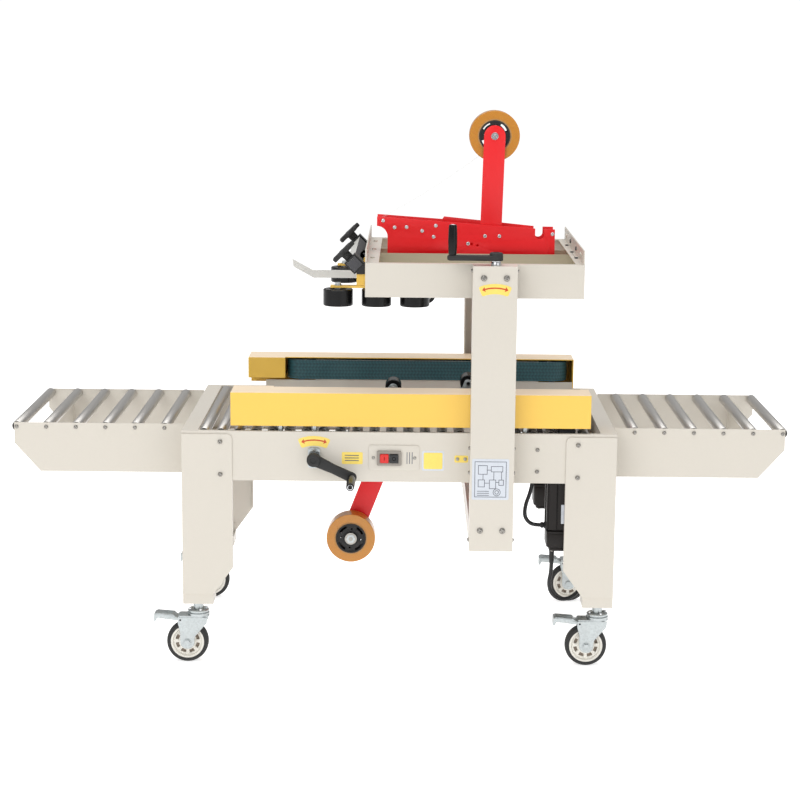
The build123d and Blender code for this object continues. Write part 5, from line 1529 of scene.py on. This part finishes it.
# ---- press assemblies
@dataclass
class PressUnits:
    """Side press rollers on their clamps, with star knobs."""

    lobes: int = 7

    def build(self) -> None:
        """Makes both press assemblies."""
        for side in SIDES:
            self._arm(side)
            self._rollers(side)
            self._knob(side)

    def _arm(self, side: str) -> None:
        """Dresses clamp, web and arm."""
        low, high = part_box(f"press_arm_{side}")
        web_low = high.z - 0.0485
        regions = [((low.x, low.y, web_low - 0.0005), tuple(high), BLACK_COAT)]
        Folded(f"press_arm_{side}", f"press_{side}", "yellow_paint", YELLOW, regions, bevel=0.0012).build()

    def _rollers(self, side: str) -> None:
        """Makes three rollers with chamfers, end discs, washers and hex bolts."""
        node = f"press_rollers_{side}"
        y = middle(node).y
        bolt_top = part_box(node)[1].z
        shape = Shape()
        for low, high in solid_boxes(node):
            if high.x - low.x < 0.06:
                continue
            centre = ((low.x + high.x) / 2, y)
            self._roller(shape, centre, (high.x - low.x) / 2, low.z, min(high.z, low.z + 0.039), bolt_top)
        shape.piece(f"press_roller_set_{side}", f"press_{side}", "black_plastic", [node], angle=40.0)

    def _roller(
        self, shape: Shape, centre: Point2, radius: float, bottom: float, top: float, bolt: float
    ) -> None:
        """Adds one roller and its bolt."""
        edge = 0.002
        shape.use(ROLLER_BLACK)
        profile = [(0.0, bottom + 0.004), (radius * 0.55, bottom + 0.004), (radius * 0.62, bottom)]
        profile += both_ends([(radius - edge, 0.0), (radius, edge)], bottom, top)
        profile += [(radius * 0.62, top), (radius * 0.55, top - 0.003), (0.0, top - 0.003)]
        shape.lathe(profile, Axis.Z, centre, 56)
        shape.use(ZINC)
        shape.rod(Axis.Z, centre, 0.009, top - 0.003, top + 0.003)
        shape.rod(Axis.Z, centre, 0.0095, bolt - 0.007, bolt - 0.0056, edge=0.0003)
        shape.hexagon(Axis.Z, centre, 0.0070, bolt - 0.0056, bolt)
        shape.rod(Axis.Z, centre, 0.0055, bottom + 0.001, bottom + 0.004)

    def _knob(self, side: str) -> None:
        """Makes the lobed knob on its stem, along its slanted axis."""
        node = f"press_knob_{side}"
        arm = f"press_arm_{side}"
        clamp = max(solid_boxes(arm), key=lambda pair: pair[1].z)
        half = 0.0245
        pivot = Vector((clamp[1].x - half, middle(arm).y, clamp[1].z - half))
        frame = Matrix.Translation(pivot) @ Matrix.Rotation(math.radians(-45), 4, "Y")
        wall = half / math.sqrt(2)
        hub, disc = wall + 0.0003, wall + 0.0153
        shape = Shape().use(BRIGHT).at(frame)
        shape.rod(Axis.Z, (0.0, 0.0), 0.0039, 0.0138, hub)
        shape.use(BLACK)
        neck = [(0.0, hub), (0.0095, hub), (0.0105, hub + 0.002), (0.0110, disc), (0.0, disc)]
        shape.lathe(neck, Axis.Z, (0.0, 0.0))
        thick = 0.011
        shape.plate(self._lobed(0.033), Axis.Z, disc, disc + thick, edge=0.0028)
        cap = [(0.0, disc + thick - 0.0005), (0.009, disc + thick - 0.0005), (0.009, disc + thick - 0.0001)]
        shape.lathe(cap, Axis.Z, (0.0, 0.0), 24)
        shape.piece(f"press_knob_{side}_star", f"press_knob_{side}", "black_plastic", [node], angle=42.0)

    def _lobed(self, radius: float) -> list[Point2]:
        """Star outline with rounded lobes."""
        steps = self.lobes * 12
        out = []
        for k in range(steps):
            wave = math.cos(self.lobes * 2 * math.pi * k / steps)
            reach = radius * (0.865 + 0.135 * math.tanh(2.2 * wave) / math.tanh(2.2))
            out.append(polar((0.0, 0.0), reach, 360 * k / steps))
        return out


# ---- tape
@dataclass
class TapeRoll:
    """Roll of tape on a spoked hub."""

    node: str
    radius: float = 0.061
    tape_half: float = 0.024
    core: float = 0.038
    hub_half: float = 0.026
    bore: float = 0.01005

    def build(self) -> None:
        """Makes tape, card core and hub."""
        low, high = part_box(self.node)
        centre = face_centre(low, high)
        half = self.tape_half
        y = (low.y + high.y) / 2
        shape = Shape().use(WoundTape(self.node + "_tape", linear("cf8a22"), centre=centre))
        tape = [(self.core + 0.003, 0.0), (self.radius - 0.001, 0.0), (self.radius, 0.001)]
        shape.lathe(both_ends(tape, y - half, y + half), Axis.Y, centre, 96, closed=True)
        card = both_ends([(self.core, 0.0), (self.core + 0.003, 0.0)], y - half - 0.0005, y + half + 0.0005)
        shape.use(CARDBOARD).lathe(card, Axis.Y, centre, 72, closed=True)
        self._hub(shape, centre, y - self.hub_half, y + self.hub_half)
        shape.piece(self.node + "_roll", self.node, "amber_tape", [self.node], angle=40.0)

    def _hub(self, shape: Shape, centre: Point2, left: float, right: float) -> None:
        """Adds the black hub: rim, windowed discs and boss."""
        rim = both_ends([(self.core - 0.004, 0.0), (self.core - 0.0002, 0.0)], left, right)
        shape.use(BLACK).lathe(rim, Axis.Y, centre, 72, closed=True)
        boss = both_ends([(self.bore, 0.0), (0.017, 0.0), (0.018, 0.002)], left, right)
        shape.lathe(boss, Axis.Y, centre, 40, closed=True)
        holes = [slotted(centre, 0.0305, 0.0055, 90 * k + 20, 90 * k + 62) for k in range(4)]
        holes += [circle(polar(centre, 0.024, 90 * k + 84), 0.0022, 16) for k in range(4)]
        holes.append(circle(centre, 0.0175, 40))
        disc = circle(centre, self.core - 0.0038, 72)
        for face in (left + 0.002, right - 0.004):
            shape.plate(disc, Axis.Y, face, face + 0.002, holes, edge=0.0003)


@dataclass
class Cartridges:
    """Upper and lower tape cartridges with their swinging nip rollers."""

    half: float = 0.036
    sheet: float = 0.003
    nip: float = 0.020
    link: float = 0.011

    def build(self) -> None:
        """Makes both cartridges, rolls and nip arms."""
        self._upper()
        self._lower()
        TapeRoll("upper_tape_roll").build()
        TapeRoll("lower_tape_roll").build()
        for which in ("upper", "lower"):
            self._nip_arm(which)
        self._film()

    @property
    def inner(self) -> float:
        """Distance from the middle to the inside of a side plate."""
        return self.half - self.sheet

    def _bars(self, shape: Shape, places: Sequence[Point2], radius: float = 0.005) -> None:
        """Adds spacers between the side plates, with their screw heads outside."""
        for place in places:
            shape.use(BRIGHT).rod(Axis.Y, place, radius, -self.inner, self.inner)
            for sign in (-1.0, 1.0):
                face = sign * self.half
                shape.socket_head(Axis.Y, place, 0.0048, face, face + sign * 0.0022)

    def _upper(self) -> None:
        """Makes the upper side plates, spacers, guide rollers and mast."""
        low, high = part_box("upper_cartridge_frame")
        left, right, bottom = low.x, high.x, 0.905
        lug_top, lug_bottom, end_top = 1.050, 1.027, 1.021
        scoop, notch = 0.026, 0.011
        hook = (0.336, 1.009)
        slope = (lug_top - end_top) / (right - left)
        outline = [(left + scoop, bottom), (right, bottom), (right, end_top + 0.0015)]
        outline += [(hook[0] + notch, end_top + slope * (right - hook[0] - notch))]
        outline += arc(hook, notch, 0, -180, 12)
        outline += [(hook[0] - notch, end_top + slope * (right - hook[0] + notch)), (left, lug_top)]
        outline += arc((left, lug_bottom - scoop), scoop, 90, 0, 8)
        holes = [circle((0.171, 0.985), 0.0034), circle((0.185, 0.982), 0.0036)]
        shape = Shape()
        for sign in (-1.0, 1.0):
            shape.use(RED).plate(outline, Axis.Y, sign * self.inner, sign * self.half, holes)
        self._bars(shape, [(-0.045, 1.040), (-0.017, 1.024), (0.012, 1.025), (0.050, 1.016), (0.078, 1.002)])
        self._bars(shape, [(0.203, 1.005), (0.238, 1.005), (0.162, 0.986), (0.367, 1.011)])
        self._bars(shape, [(0.083, 1.029)], 0.003)
        self._bridge(shape)
        self._bars(shape, [(0.006, 0.943)], 0.006)
        shape.use(DARK_STEEL_AND_PAINTED_SHADE).block((0.155, -self.inner, 0.905), (0.185, self.inner, 0.935))
        shape.use(RED).block((0.060, -self.inner, 0.955), (0.295, self.inner, 0.957))
        self._strap(shape, "upper_tape_roll", (0.216, 0.975), -1.0)
        self._wiper(shape, (0.249, 0.870), (0.214, 0.935))
        self._pins(shape, ((-0.020, 0.935), (0.335, 0.935)), 0.050)
        shape.piece("upper_cartridge", "head", "red_paint", ["upper_cartridge_frame"], angle=42.0)

    def _pins(self, shape: Shape, places: Iterable[Point2], reach: float) -> None:
        """Adds the pins that hang a cartridge, outside both side plates."""
        for place in places:
            for sign in (-1.0, 1.0):
                shape.use(BRIGHT).rod(Axis.Y, place, 0.006, sign * self.half, sign * reach)

    def _bridge(self, shape: Shape) -> None:
        """Adds the raised cover strip behind the mast, between the side plates."""
        seat = self.inner - self.sheet
        outline = [(0.104, 1.022), (0.325, 1.002), (0.325, 1.019)]
        outline += [(0.318, 1.025), (0.104, 1.046), (0.100, 1.040)]
        shape.use(RED).plate(outline, Axis.Y, seat, self.inner)
        shape.block((0.250, -seat, 1.012), (0.318, seat, 1.015))

    def _strap(self, shape: Shape, node: str, foot: Point2, side: float) -> None:
        """Adds the strap of a tape roll on one side, with the shaft and its ends."""
        roll = middle(node)
        top = (roll.x, roll.z)
        width = 0.026
        line = Vector((top[0] - foot[0], top[1] - foot[1])).normalized()
        square = Vector((-line.y, line.x)) * width
        start = math.degrees(math.atan2(square.y, square.x))
        outline = arc(top, width, start, start - 180, 18)
        outline += [(foot[0] - square.x, foot[1] - square.y), (foot[0] + square.x, foot[1] + square.y)]
        outer = side * self.inner
        inner = side * (self.inner - self.sheet)
        shape.use(RED).plate(outline, Axis.Y, inner, outer)
        far = -side * 0.028
        shape.use(TURNED_Y).rod(Axis.Y, top, 0.010, inner, far)
        shape.use(SCREW_ZINC).rod(Axis.Y, top, 0.0150, far, far - side * 0.0018, edge=0.0003)
        shape.use(ZINC).hexagon(Axis.Y, top, 0.0115, far - side * 0.0018, far - side * 0.0040)
        shape.use(SCREW_ZINC).rod(Axis.Y, top, 0.0050, far - side * 0.0040, far - side * 0.0048)
        shape.use(BRIGHT)
        shape.rod(Axis.Y, top, 0.0088, outer, outer + side * 0.0015, edge=0.0003)
        shape.hexagon(Axis.Y, top, 0.0078, outer + side * 0.0015, outer + side * 0.0058)
        shape.rod(Axis.Y, top, 0.0042, outer + side * 0.0058, outer + side * 0.0069)

    def _roller(self, shape: Shape, centre: Point2) -> None:
        """Adds a rubber roller with grooves at its ends, on a steel shaft."""
        half, edge, step, bore = 0.026, 0.0015, 0.0008, 0.0052
        groove = 0.006
        sunk = self.nip - 0.0012
        profile = [(bore, 0.0), (self.nip - edge, 0.0), (self.nip, edge), (self.nip, groove - step)]
        profile += [(sunk, groove - step), (sunk, groove + step), (self.nip, groove + step)]
        shape.use(ROLLER_BLACK).lathe(both_ends(profile, -half, half), Axis.Y, centre, 48, closed=True)

    def _wiper(self, shape: Shape, centre: Point2, seat: Point2) -> None:
        """Adds the fixed second roller with its straps."""
        self._roller(shape, centre)
        shape.use(BRIGHT).rod(Axis.Y, centre, 0.005, -self.inner, self.inner)
        outline = self._link(centre, seat, self.link)
        for sign in (-1.0, 1.0):
            shape.use(ZINC).plate(outline, Axis.Y, sign * (self.inner - self.sheet), sign * self.inner)

    @staticmethod
    def _link(first: Point2, second: Point2, radius: float) -> list[Point2]:
        """Outline of a bar with round ends."""
        line = Vector((second[0] - first[0], second[1] - first[1]))
        start = math.degrees(math.atan2(line.y, line.x)) + 90
        return arc(first, radius, start, start + 180, 12) + arc(second, radius, start + 180, start + 360, 12)

    def _nip_arm(self, which: str) -> None:
        """Makes a swinging arm with its roller."""
        node = f"{which}_nip_arm"
        low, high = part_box(node)
        up = which == "lower"
        pivot = (low.x + self.link, low.z + self.link if up else high.z - self.link)
        roller = (high.x - self.nip, high.z - self.nip if up else low.z + self.nip)
        shape = Shape()
        self._roller(shape, roller)
        cheek = 0.0295
        shape.use(BRIGHT).rod(Axis.Y, roller, 0.005, -cheek, cheek)
        holes = [circle(pivot, 0.00605), circle(roller, 0.0051)]
        outline = self._link(pivot, roller, self.link)
        for sign in (-1.0, 1.0):
            shape.use(ZINC).plate(outline, Axis.Y, sign * 0.027, sign * cheek, holes)
        shape.piece(f"{which}_nip_roller", node, "nip_rubber", [node], angle=42.0)

    def _lower(self) -> None:
        """Makes the lower cartridge with its roll strap."""
        left, right, bottom, top = -0.095, 0.225, 0.430, 0.560
        shape = Shape()
        outline = rounded(corners(left, bottom, right, top), 0.008)
        holes = [circle((-0.020, 0.520), 0.004), circle((0.130, 0.455), 0.004), circle((0.020, 0.460), 0.005)]
        for sign in (-1.0, 1.0):
            shape.use(RED).plate(outline, Axis.Y, sign * self.inner, sign * self.half, holes)
        self._bars(shape, [(-0.060, 0.480), (0.060, 0.450), (0.205, 0.450), (0.205, 0.545)])
        self._bars(shape, [(-0.075, 0.540)], 0.006)
        shape.use(DARK_STEEL_AND_PAINTED_SHADE).block((0.080, -self.inner, 0.500), (0.110, self.inner, 0.530))
        self._strap(shape, "lower_tape_roll", (-0.040, 0.450), 1.0)
        self._wiper(shape, (0.168, 0.639), (0.133, 0.539))
        self._pins(shape, ((left + 0.020, 0.520), (right - 0.020, 0.520)), 0.055)
        shape.piece("lower_cartridge", "frame", "red_paint", ["lower_cartridge_frame"], angle=42.0)

    def _film(self) -> None:
        """Adds the clear tape from the upper roll to the first guide of the cartridge."""
        roll = middle("upper_tape_roll")
        start = Vector((roll.x - 0.036, 0.0, roll.z - 0.0495))
        end = Vector((-0.0505, 0.0, 1.0435))
        half = 0.023
        shape = Shape().use(FILM)
        steps = 24
        rows = []
        for k in range(steps + 1):
            place = start.lerp(end, k / steps)
            place.z -= 0.006 * math.sin(math.pi * k / steps)
            shares = (-1.0, -0.33, 0.33, 1.0)
            rows.append(shape.ring(place + Vector((0.0, half * share, 0.0)) for share in shares))
        for first, second in zip(rows, rows[1:]):
            for n in range(3):
                shape.face((first[n], first[n + 1], second[n + 1], second[n]))
        made = shape.piece("tape_web", "head", "amber_tape")
        thick = made.modifiers.new("thickness", "SOLIDIFY")
        thick.thickness = 0.0001


# ---- drive units
@dataclass
class DriveUnits:
    """Belts and gear motors of both drive units."""

    belt: float = 0.004
    body: float = 0.090
    head: float = 0.545
    boot: float = 0.024
    rear_boot: float = 0.007

    def build(self) -> None:
        """Makes belts and motors."""
        for side, sign in SIDES.items():
            self._belt(side)
            self._motor(side, sign)

    def _belt(self, side: str) -> None:
        """Makes the belt as a band with eased edges."""
        node = f"drive_belt_{side}"
        low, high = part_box(node)
        y = (low.y + high.y) / 2
        outer = (high.y - low.y) / 2
        edge = 0.0008
        section = both_ends([(outer - self.belt, 0.0), (outer - edge, 0.0), (outer, edge)], low.z, high.z)
        shape = Shape().use(BELT)
        rings = []
        for radius, z in section:
            loop = arc((high.x - outer, y), radius, -90, 90, 18)
            loop += arc((low.x + outer, y), radius, 90, 270, 18)
            rings.append(shape.ring(Vector((u, v, z)) for u, v in loop))
        rings.append(rings[0])
        for first, second in zip(rings, rings[1:]):
            shape.bridge(first, second)
        shape.piece(f"grip_belt_{side}", f"drive_{side}", "belt_rubber", [node], angle=40.0)

    def _motor(self, side: str, sign: float) -> None:
        """Makes the gear motor: gearbox, finned stator, fan cover, terminal box and glands."""
        node = f"drive_motor_{side}"
        low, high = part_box(node)
        right = high.x
        left = right - self.body
        y0, y1 = low.y, high.y
        bottom = low.z + 0.012
        across, along = (left + right) / 2, (y0 + y1) / 2
        lead = sign < 0
        cap = bottom + (self.boot if lead else self.rear_boot)
        shape = Shape().use(MOTOR_BLACK)
        for inset, radius, start, end, edge in (
            (0.0, 0.008, bottom + 0.215, self.head, 0.0015),
            (0.004, 0.010, bottom + 0.205, bottom + 0.215, 0.0008),
            (0.0055, 0.010, bottom + 0.074, bottom + 0.205, 0.0008),
            (0.0005, 0.010, bottom + 0.0685, bottom + 0.0735, 0.0008),
            (0.001, 0.012, cap + 0.010, bottom + 0.068, 0.002),
            (0.007, 0.014, cap, cap + 0.010, 0.003),
        ):
            square = rounded(corners(left + inset, y0 + inset, right - inset, y1 - inset), radius)
            shape.plate(square, Axis.Z, start, end, edge=edge)
        self._fins(shape, (left, right), (y0, y1), bottom)
        neck = rounded(corners(across - 0.02, along - 0.02, across + 0.02, along + 0.02), 0.004)
        shape.use(DARK_STEEL_AND_PAINTED_SHADE).prism(neck, Axis.Z, self.head, high.z)
        shape.use(SCREW_ZINC)
        for dx in (-0.0288, 0.0288):
            for dy in (-0.0288, 0.0288):
                shape.rod(Axis.Z, (across + dx, along + dy), 0.0045, cap - 0.0015, cap + 0.001)
        gland = (along, UPPER_LEAD[-1][2])
        shape.use(BLACK).hexagon(Axis.X, gland, 0.0080, left - 0.0035, left + 0.001)
        shape.rod(Axis.X, gland, 0.0072, left - 0.0118, left - 0.0035, edge=0.002)
        foot = (LOWER_LEAD[0][0], along)
        shape.hexagon(Axis.Z, foot, 0.0080, cap - 0.0035, cap + 0.001)
        if lead:
            sleeve = [(0.0, cap - 0.0035), (0.0070, cap - 0.0035), (0.0062, cap - 0.012)]
            sleeve += [(0.0055, bottom - 0.0118), (0.0, bottom - 0.0118)]
            shape.lathe(sleeve, Axis.Z, foot, 28)
        plate = corners(left + 0.034, bottom + 0.093, left + 0.074, bottom + 0.139)
        shape.use(LABEL_WHITE).prism(plate, Axis.Y, y0, y0 + 0.0005)
        shape.piece(f"gear_motor_{side}", f"drive_{side}", "black_paint", [node], bevel=0.0004, angle=42.0)

    def _fins(self, shape: Shape, span: Point2, depth: Point2, bottom: float) -> None:
        """Adds four broad ribs on every side of the stator; the left side has its outer two only."""
        low, high, half, tall = bottom + 0.078, bottom + 0.200, 0.0088, 0.0052
        for k in range(4):
            across = span[0] + 0.014 + k * (span[1] - span[0] - 0.028) / 3
            for start in (depth[0] + 0.0056 - tall, depth[1] - 0.0056):
                shape.block((across - half, start, low), (across + half, start + tall, high))
            along = depth[0] + 0.014 + k * (depth[1] - depth[0] - 0.028) / 3
            starts = (span[0] + 0.0005, span[1] - 0.006) if k in (0, 3) else (span[1] - 0.006,)
            for start in starts:
                shape.block((start, along - half, low), (start + 0.0055, along + half, high))


# ---- control panel and labels
@dataclass
class ControlPanel:
    """Switch plate with bezel and buttons, and the plain labels of the front."""

    film: float = 0.0004

    def build(self) -> None:
        """Makes the switch and the labels."""
        self._switch()
        self._buttons()
        self._labels()

    def _switch(self) -> None:
        """Makes the plate, the bezel and its screw."""
        low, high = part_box("switch_plate")
        face = low.y + 0.006
        outline = rounded(face_corners(low, high), 0.006)
        buttons = [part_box(f"power_{which}_button") for which in ("on", "off")]
        holes = [face_corners(first, last, 0.0003) for first, last in buttons]
        shape = Shape().use(BEIGE)
        shape.plate(outline, Axis.Y, face, high.y, holes, edge=0.0004)
        left = min(a.x for a, _ in buttons) - 0.0075
        right = max(b.x for _, b in buttons) + 0.0075
        bottom, top = buttons[0][0].z - 0.007, buttons[0][1].z + 0.007
        bezel = rounded(corners(left, bottom, right, top), 0.0035)
        shape.use(BEZEL).plate(bezel, Axis.Y, low.y, face, holes, edge=0.0012)
        height = face_centre(low, high)[1]
        for x in (low.x + 0.011, high.x - 0.011):
            shape.use(SCREW_ZINC).socket_head(Axis.Y, (x, height), 0.004, face, face - 0.002)
        for k in range(3):
            strip = high.x - 0.030 + k * 0.006
            line = corners(strip, low.z + 0.016, strip + 0.0018, high.z - 0.016)
            shape.use(LABEL_GREY).prism(line, Axis.Y, face - 0.0002, face)
        shape.piece("switch_bezel", "frame", "bezel_plastic", ["switch_plate"], angle=42.0)

    def _buttons(self) -> None:
        """Makes the two push buttons, each with a plain mark."""
        for which, finish in (("on", BUTTON_RED), ("off", BUTTON_BLACK)):
            node = f"power_{which}_button"
            low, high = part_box(node)
            outline = rounded(face_corners(low, high), 0.002)
            shape = Shape().use(finish).plate(outline, Axis.Y, low.y, high.y, edge=0.0012)
            mark = face_centre(low, high)
            shape.use(LABEL_WHITE)
            if which == "on":
                stroke = corners(mark[0] - 0.0006, mark[1] - 0.004, mark[0] + 0.0006, mark[1] + 0.004)
                shape.prism(stroke, Axis.Y, low.y, low.y + 0.001)
            else:
                shape.lathe(corners(0.0034, low.y, 0.0046, low.y + 0.001), Axis.Y, mark, 28, closed=True)
            slot = "red_plastic" if which == "on" else "black_plastic"
            shape.piece(f"{node}_cap", node, slot, [node], angle=42.0)

    def _labels(self) -> None:
        """Makes the yellow direction labels, the patches and the plate with a line drawing."""
        column_low, column_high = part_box("columns")
        front = column_low.y
        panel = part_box("bed_frame")[0].y
        centre_x = (column_low.x + column_high.x) / 2
        shape = Shape()
        self._direction(shape, (centre_x, 0.9165), front)
        self._direction(shape, (-0.199, 0.5485), panel)
        self._sticker(shape, LABEL_YELLOW, (-0.134, -0.085, 0.4940, 0.5225), panel)
        for k in range(3):
            low = 0.5015 + k * 0.0062
            self._sticker(shape, LABEL_GREY, (-0.127, -0.094, low, low + 0.0018), panel - self.film)
        self._sticker(shape, LABEL_YELLOW, (0.130, 0.162, 0.500, 0.517), panel)
        for x in (0.137, 0.155):
            shape.use(SCREW_ZINC).socket_head(Axis.Y, (x, 0.5085), 0.0042, panel - self.film, panel - 0.003)
        self._sticker(shape, LABEL_WHITE, (0.054, 0.106, 0.480, 0.527), panel)
        self._sticker(shape, LABEL_YELLOW, (0.058, 0.102, 0.484, 0.523), panel - self.film)
        self._diagram(shape, front)
        shape.piece("front_labels", "frame", "beige_paint", angle=42.0)

    def _sticker(self, shape: Shape, finish: Finish, box: Sequence[float], face: float) -> None:
        """Adds a thin rounded rectangle on a front face."""
        left, right, low, high = box
        radius = min(0.003, (high - low) * 0.25)
        outline = rounded(corners(left, low, right, high), radius)
        shape.use(finish).prism(outline, Axis.Y, face, face - self.film)

    def _direction(self, shape: Shape, centre: Point2, face: float) -> None:
        """Adds a yellow curved label with a double-headed arrow."""
        radius, half, width = 0.085, 23.5, 0.0235
        hub = (centre[0], centre[1] - radius)
        label = slotted(hub, radius, width, 90 - half, 90 + half)
        shape.use(LABEL_YELLOW).prism(rounded(label, 0.004, 2), Axis.Y, face, face - self.film)
        arrow = slotted(hub, radius + 0.002, 0.0032, 90 - half * 0.66, 90 + half * 0.66)
        top = face - self.film
        shape.use(LABEL_RED).prism(arrow, Axis.Y, top, top - self.film / 2)
        reach = radius + 0.002
        for sign in (-1.0, 1.0):
            angle = 90 + sign * half * 0.66
            head = [polar(hub, reach, 90 + sign * half * 0.86)]
            head += [polar(hub, reach + 0.006, angle), polar(hub, reach - 0.006, angle)]
            shape.prism(head, Axis.Y, top, top - self.film / 2)

    def _diagram(self, shape: Shape, face: float) -> None:
        """Adds the pale plate with a plain line drawing on the column."""
        left, right, low, high = 0.170, 0.256, 0.423, 0.520
        self._sticker(shape, LABEL_WHITE, (left, right, low, high), face)
        top = face - self.film
        line = 0.0014
        frames = ((0.006, 0.080, 0.006, 0.091), (0.014, 0.036, 0.060, 0.082), (0.044, 0.072, 0.066, 0.080))
        frames += ((0.014, 0.030, 0.030, 0.048), (0.040, 0.056, 0.026, 0.048), (0.062, 0.074, 0.034, 0.048))
        under = top - self.film / 2
        for x0, x1, z0, z1 in frames:
            outer = corners(left + x0, low + z0, left + x1, low + z1)
            inner = corners(left + x0 + line, low + z0 + line, left + x1 - line, low + z1 - line)
            shape.use(LABEL_GREY).plate(outer, Axis.Y, top, under, [inner], edge=0.00002)
        upright = ((0.025, 0.048, 0.060), (0.050, 0.048, 0.066), (0.068, 0.048, 0.066))
        level = ((0.036, 0.044, 0.070), (0.030, 0.040, 0.039), (0.056, 0.062, 0.041))
        runs = [(x, x + line, z0, z1) for x, z0, z1 in upright]
        runs += [(x0, x1, z, z + line) for x0, x1, z in level]
        runs += [(0.012, 0.040, 0.010 + k * 0.0048, 0.010 + k * 0.0048 + line) for k in range(3)]
        for x0, x1, z0, z1 in runs:
            shape.prism(corners(left + x0, low + z0, left + x1, low + z1), Axis.Y, top, under)
        for radius in (0.0075, 0.0035):
            ring = corners(radius, top, radius + line, under)
            shape.lathe(ring, Axis.Y, (left + 0.058, low + 0.018), 32, closed=True)


# ---- fasteners
@dataclass
class Fasteners:
    """Screw heads, caster stems, crank bearing and lead glands of the frame."""

    stem_below: float = 0.13
    tall: float = 0.04
    bearing_wide: float = 0.025
    gland_tall: float = 0.010
    nut: float = 0.004
    washer: float = 0.0010
    round_within: float = 0.0008

    def build(self) -> None:
        """Dresses every small solid of the fastener node by its own box."""
        shape = Shape()
        for low, high in solid_boxes("frame_fasteners"):
            self._dress(shape, low, high)
        shape.piece("frame_screws", "frame", "bright_steel", ["frame_fasteners"], angle=40.0)

    def _dress(self, shape: Shape, low: Vector, high: Vector) -> None:
        """Adds the detailed form of one solid."""
        size = high - low
        centre = (low + high) / 2
        if low.z < self.stem_below and size.z > self.tall:
            self._stem(shape, (centre.x, centre.y), low.z, high.z)
            return
        if size.x > self.bearing_wide and size.z > self.tall:
            self._bearing(shape, low, high)
            return
        thin = min(range(3), key=lambda k: size[k])
        round_pair = [size[k] for k in range(3) if k != thin]
        if abs(round_pair[0] - round_pair[1]) > self.round_within:
            thin = 2
        axis = (Axis.X, Axis.Y, Axis.Z)[thin]
        if size.z > self.gland_tall and abs(size.x - size.y) < self.round_within:
            place, under = (centre.x, centre.y), high.z - self.nut
            shape.use(BLACK).hexagon(Axis.Z, place, size.x / 2, under, high.z)
            shape.rod(Axis.Z, place, size.x / 2 - 0.0008, low.z, under, edge=0.002)
            return
        u, v, along = axis.split(centre)
        outward = 1.0 if along > 0 else -1.0
        if axis is Axis.X:
            outward = self._outward_x(low, high)
        half = size[thin] / 2
        radius = max(round_pair) / 2
        seat = along - outward * half
        face = seat + outward * self.washer
        shape.use(SCREW_ZINC).rod(axis, (u, v), radius * 0.84, seat, face, edge=0.0003)
        shape.use(BOLT).socket_head(axis, (u, v), radius * 0.72, face, along + outward * half)

    @staticmethod
    def _outward_x(low: Vector, high: Vector) -> float:
        """Direction in which a screw along X faces: away from the panel that carries it."""
        column_low, column_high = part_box("columns")
        centre = (low.x + high.x) / 2
        if column_low.x - 0.01 < centre < column_high.x + 0.01:
            return -1.0 if centre < (column_low.x + column_high.x) / 2 else 1.0
        return math.copysign(1.0, centre)

    def _stem(self, shape: Shape, centre: Point2, low: float, high: float) -> None:
        """Adds a caster stem with its head, collar and lock nut."""
        shape.use(ZINC)
        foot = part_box("legs")[0].z
        profile = [(0.0, low), (0.009, low), (0.0098, low + 0.001), (0.0098, 0.1155), (0.0059, 0.1155)]
        profile += [(0.0059, 0.1305), (0.0118, 0.1305), (0.0118, foot - 0.0002), (0.0059, foot - 0.0002)]
        profile += [(0.0059, foot + 0.003)]
        shape.lathe(profile, Axis.Z, centre, 32)
        shape.use(BRIGHT).hexagon(Axis.Z, centre, 0.0100, foot + 0.003, high - 0.0006)
        shape.rod(Axis.Z, centre, 0.0055, high - 0.0006, high, edge=0.0002)

    def _bearing(self, shape: Shape, low: Vector, high: Vector) -> None:
        """Adds the plate that carries the width crank, with its two screws."""
        outline = rounded(face_corners(low, high), 0.006)
        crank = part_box("width_crank")
        centre = (crank[0].x + Cranks.hub, crank[1].z - Cranks.hub)
        shape.use(ZINC).plate(outline, Axis.Y, low.y, high.y, [circle(centre, 0.0101)])
        for dz in (-0.018, 0.018):
            place = ((low.x + high.x) / 2, centre[1] + dz)
            shape.use(SCREW_ZINC).socket_head(Axis.Y, place, 0.0042, low.y, low.y - 0.0025)


def main() -> None:
    """Loads the frame and builds every sub-assembly in order."""
    logging.basicConfig(level=logging.INFO, format="%(message)s")
    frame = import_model()
    NODES.update(frame["nodes"])
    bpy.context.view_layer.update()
    steps: list[tuple[str, Callable[[], None]]] = [
        ("studio", Studio().build),
        ("motor leads", MotorLeads().build),
        ("sheet metal", SheetMetal().build),
        ("rollers", Rollers().build),
        ("casters", Casters().build),
        ("cranks", Cranks().build),
        ("press units", PressUnits().build),
        ("tape cartridges", Cartridges().build),
        ("drive units", DriveUnits().build),
        ("control panel", ControlPanel().build),
        ("fasteners", Fasteners().build),
    ]
    for name, build in steps:
        build()
        LOG.info("built %s", name)


if __name__ == "__main__":
    main()
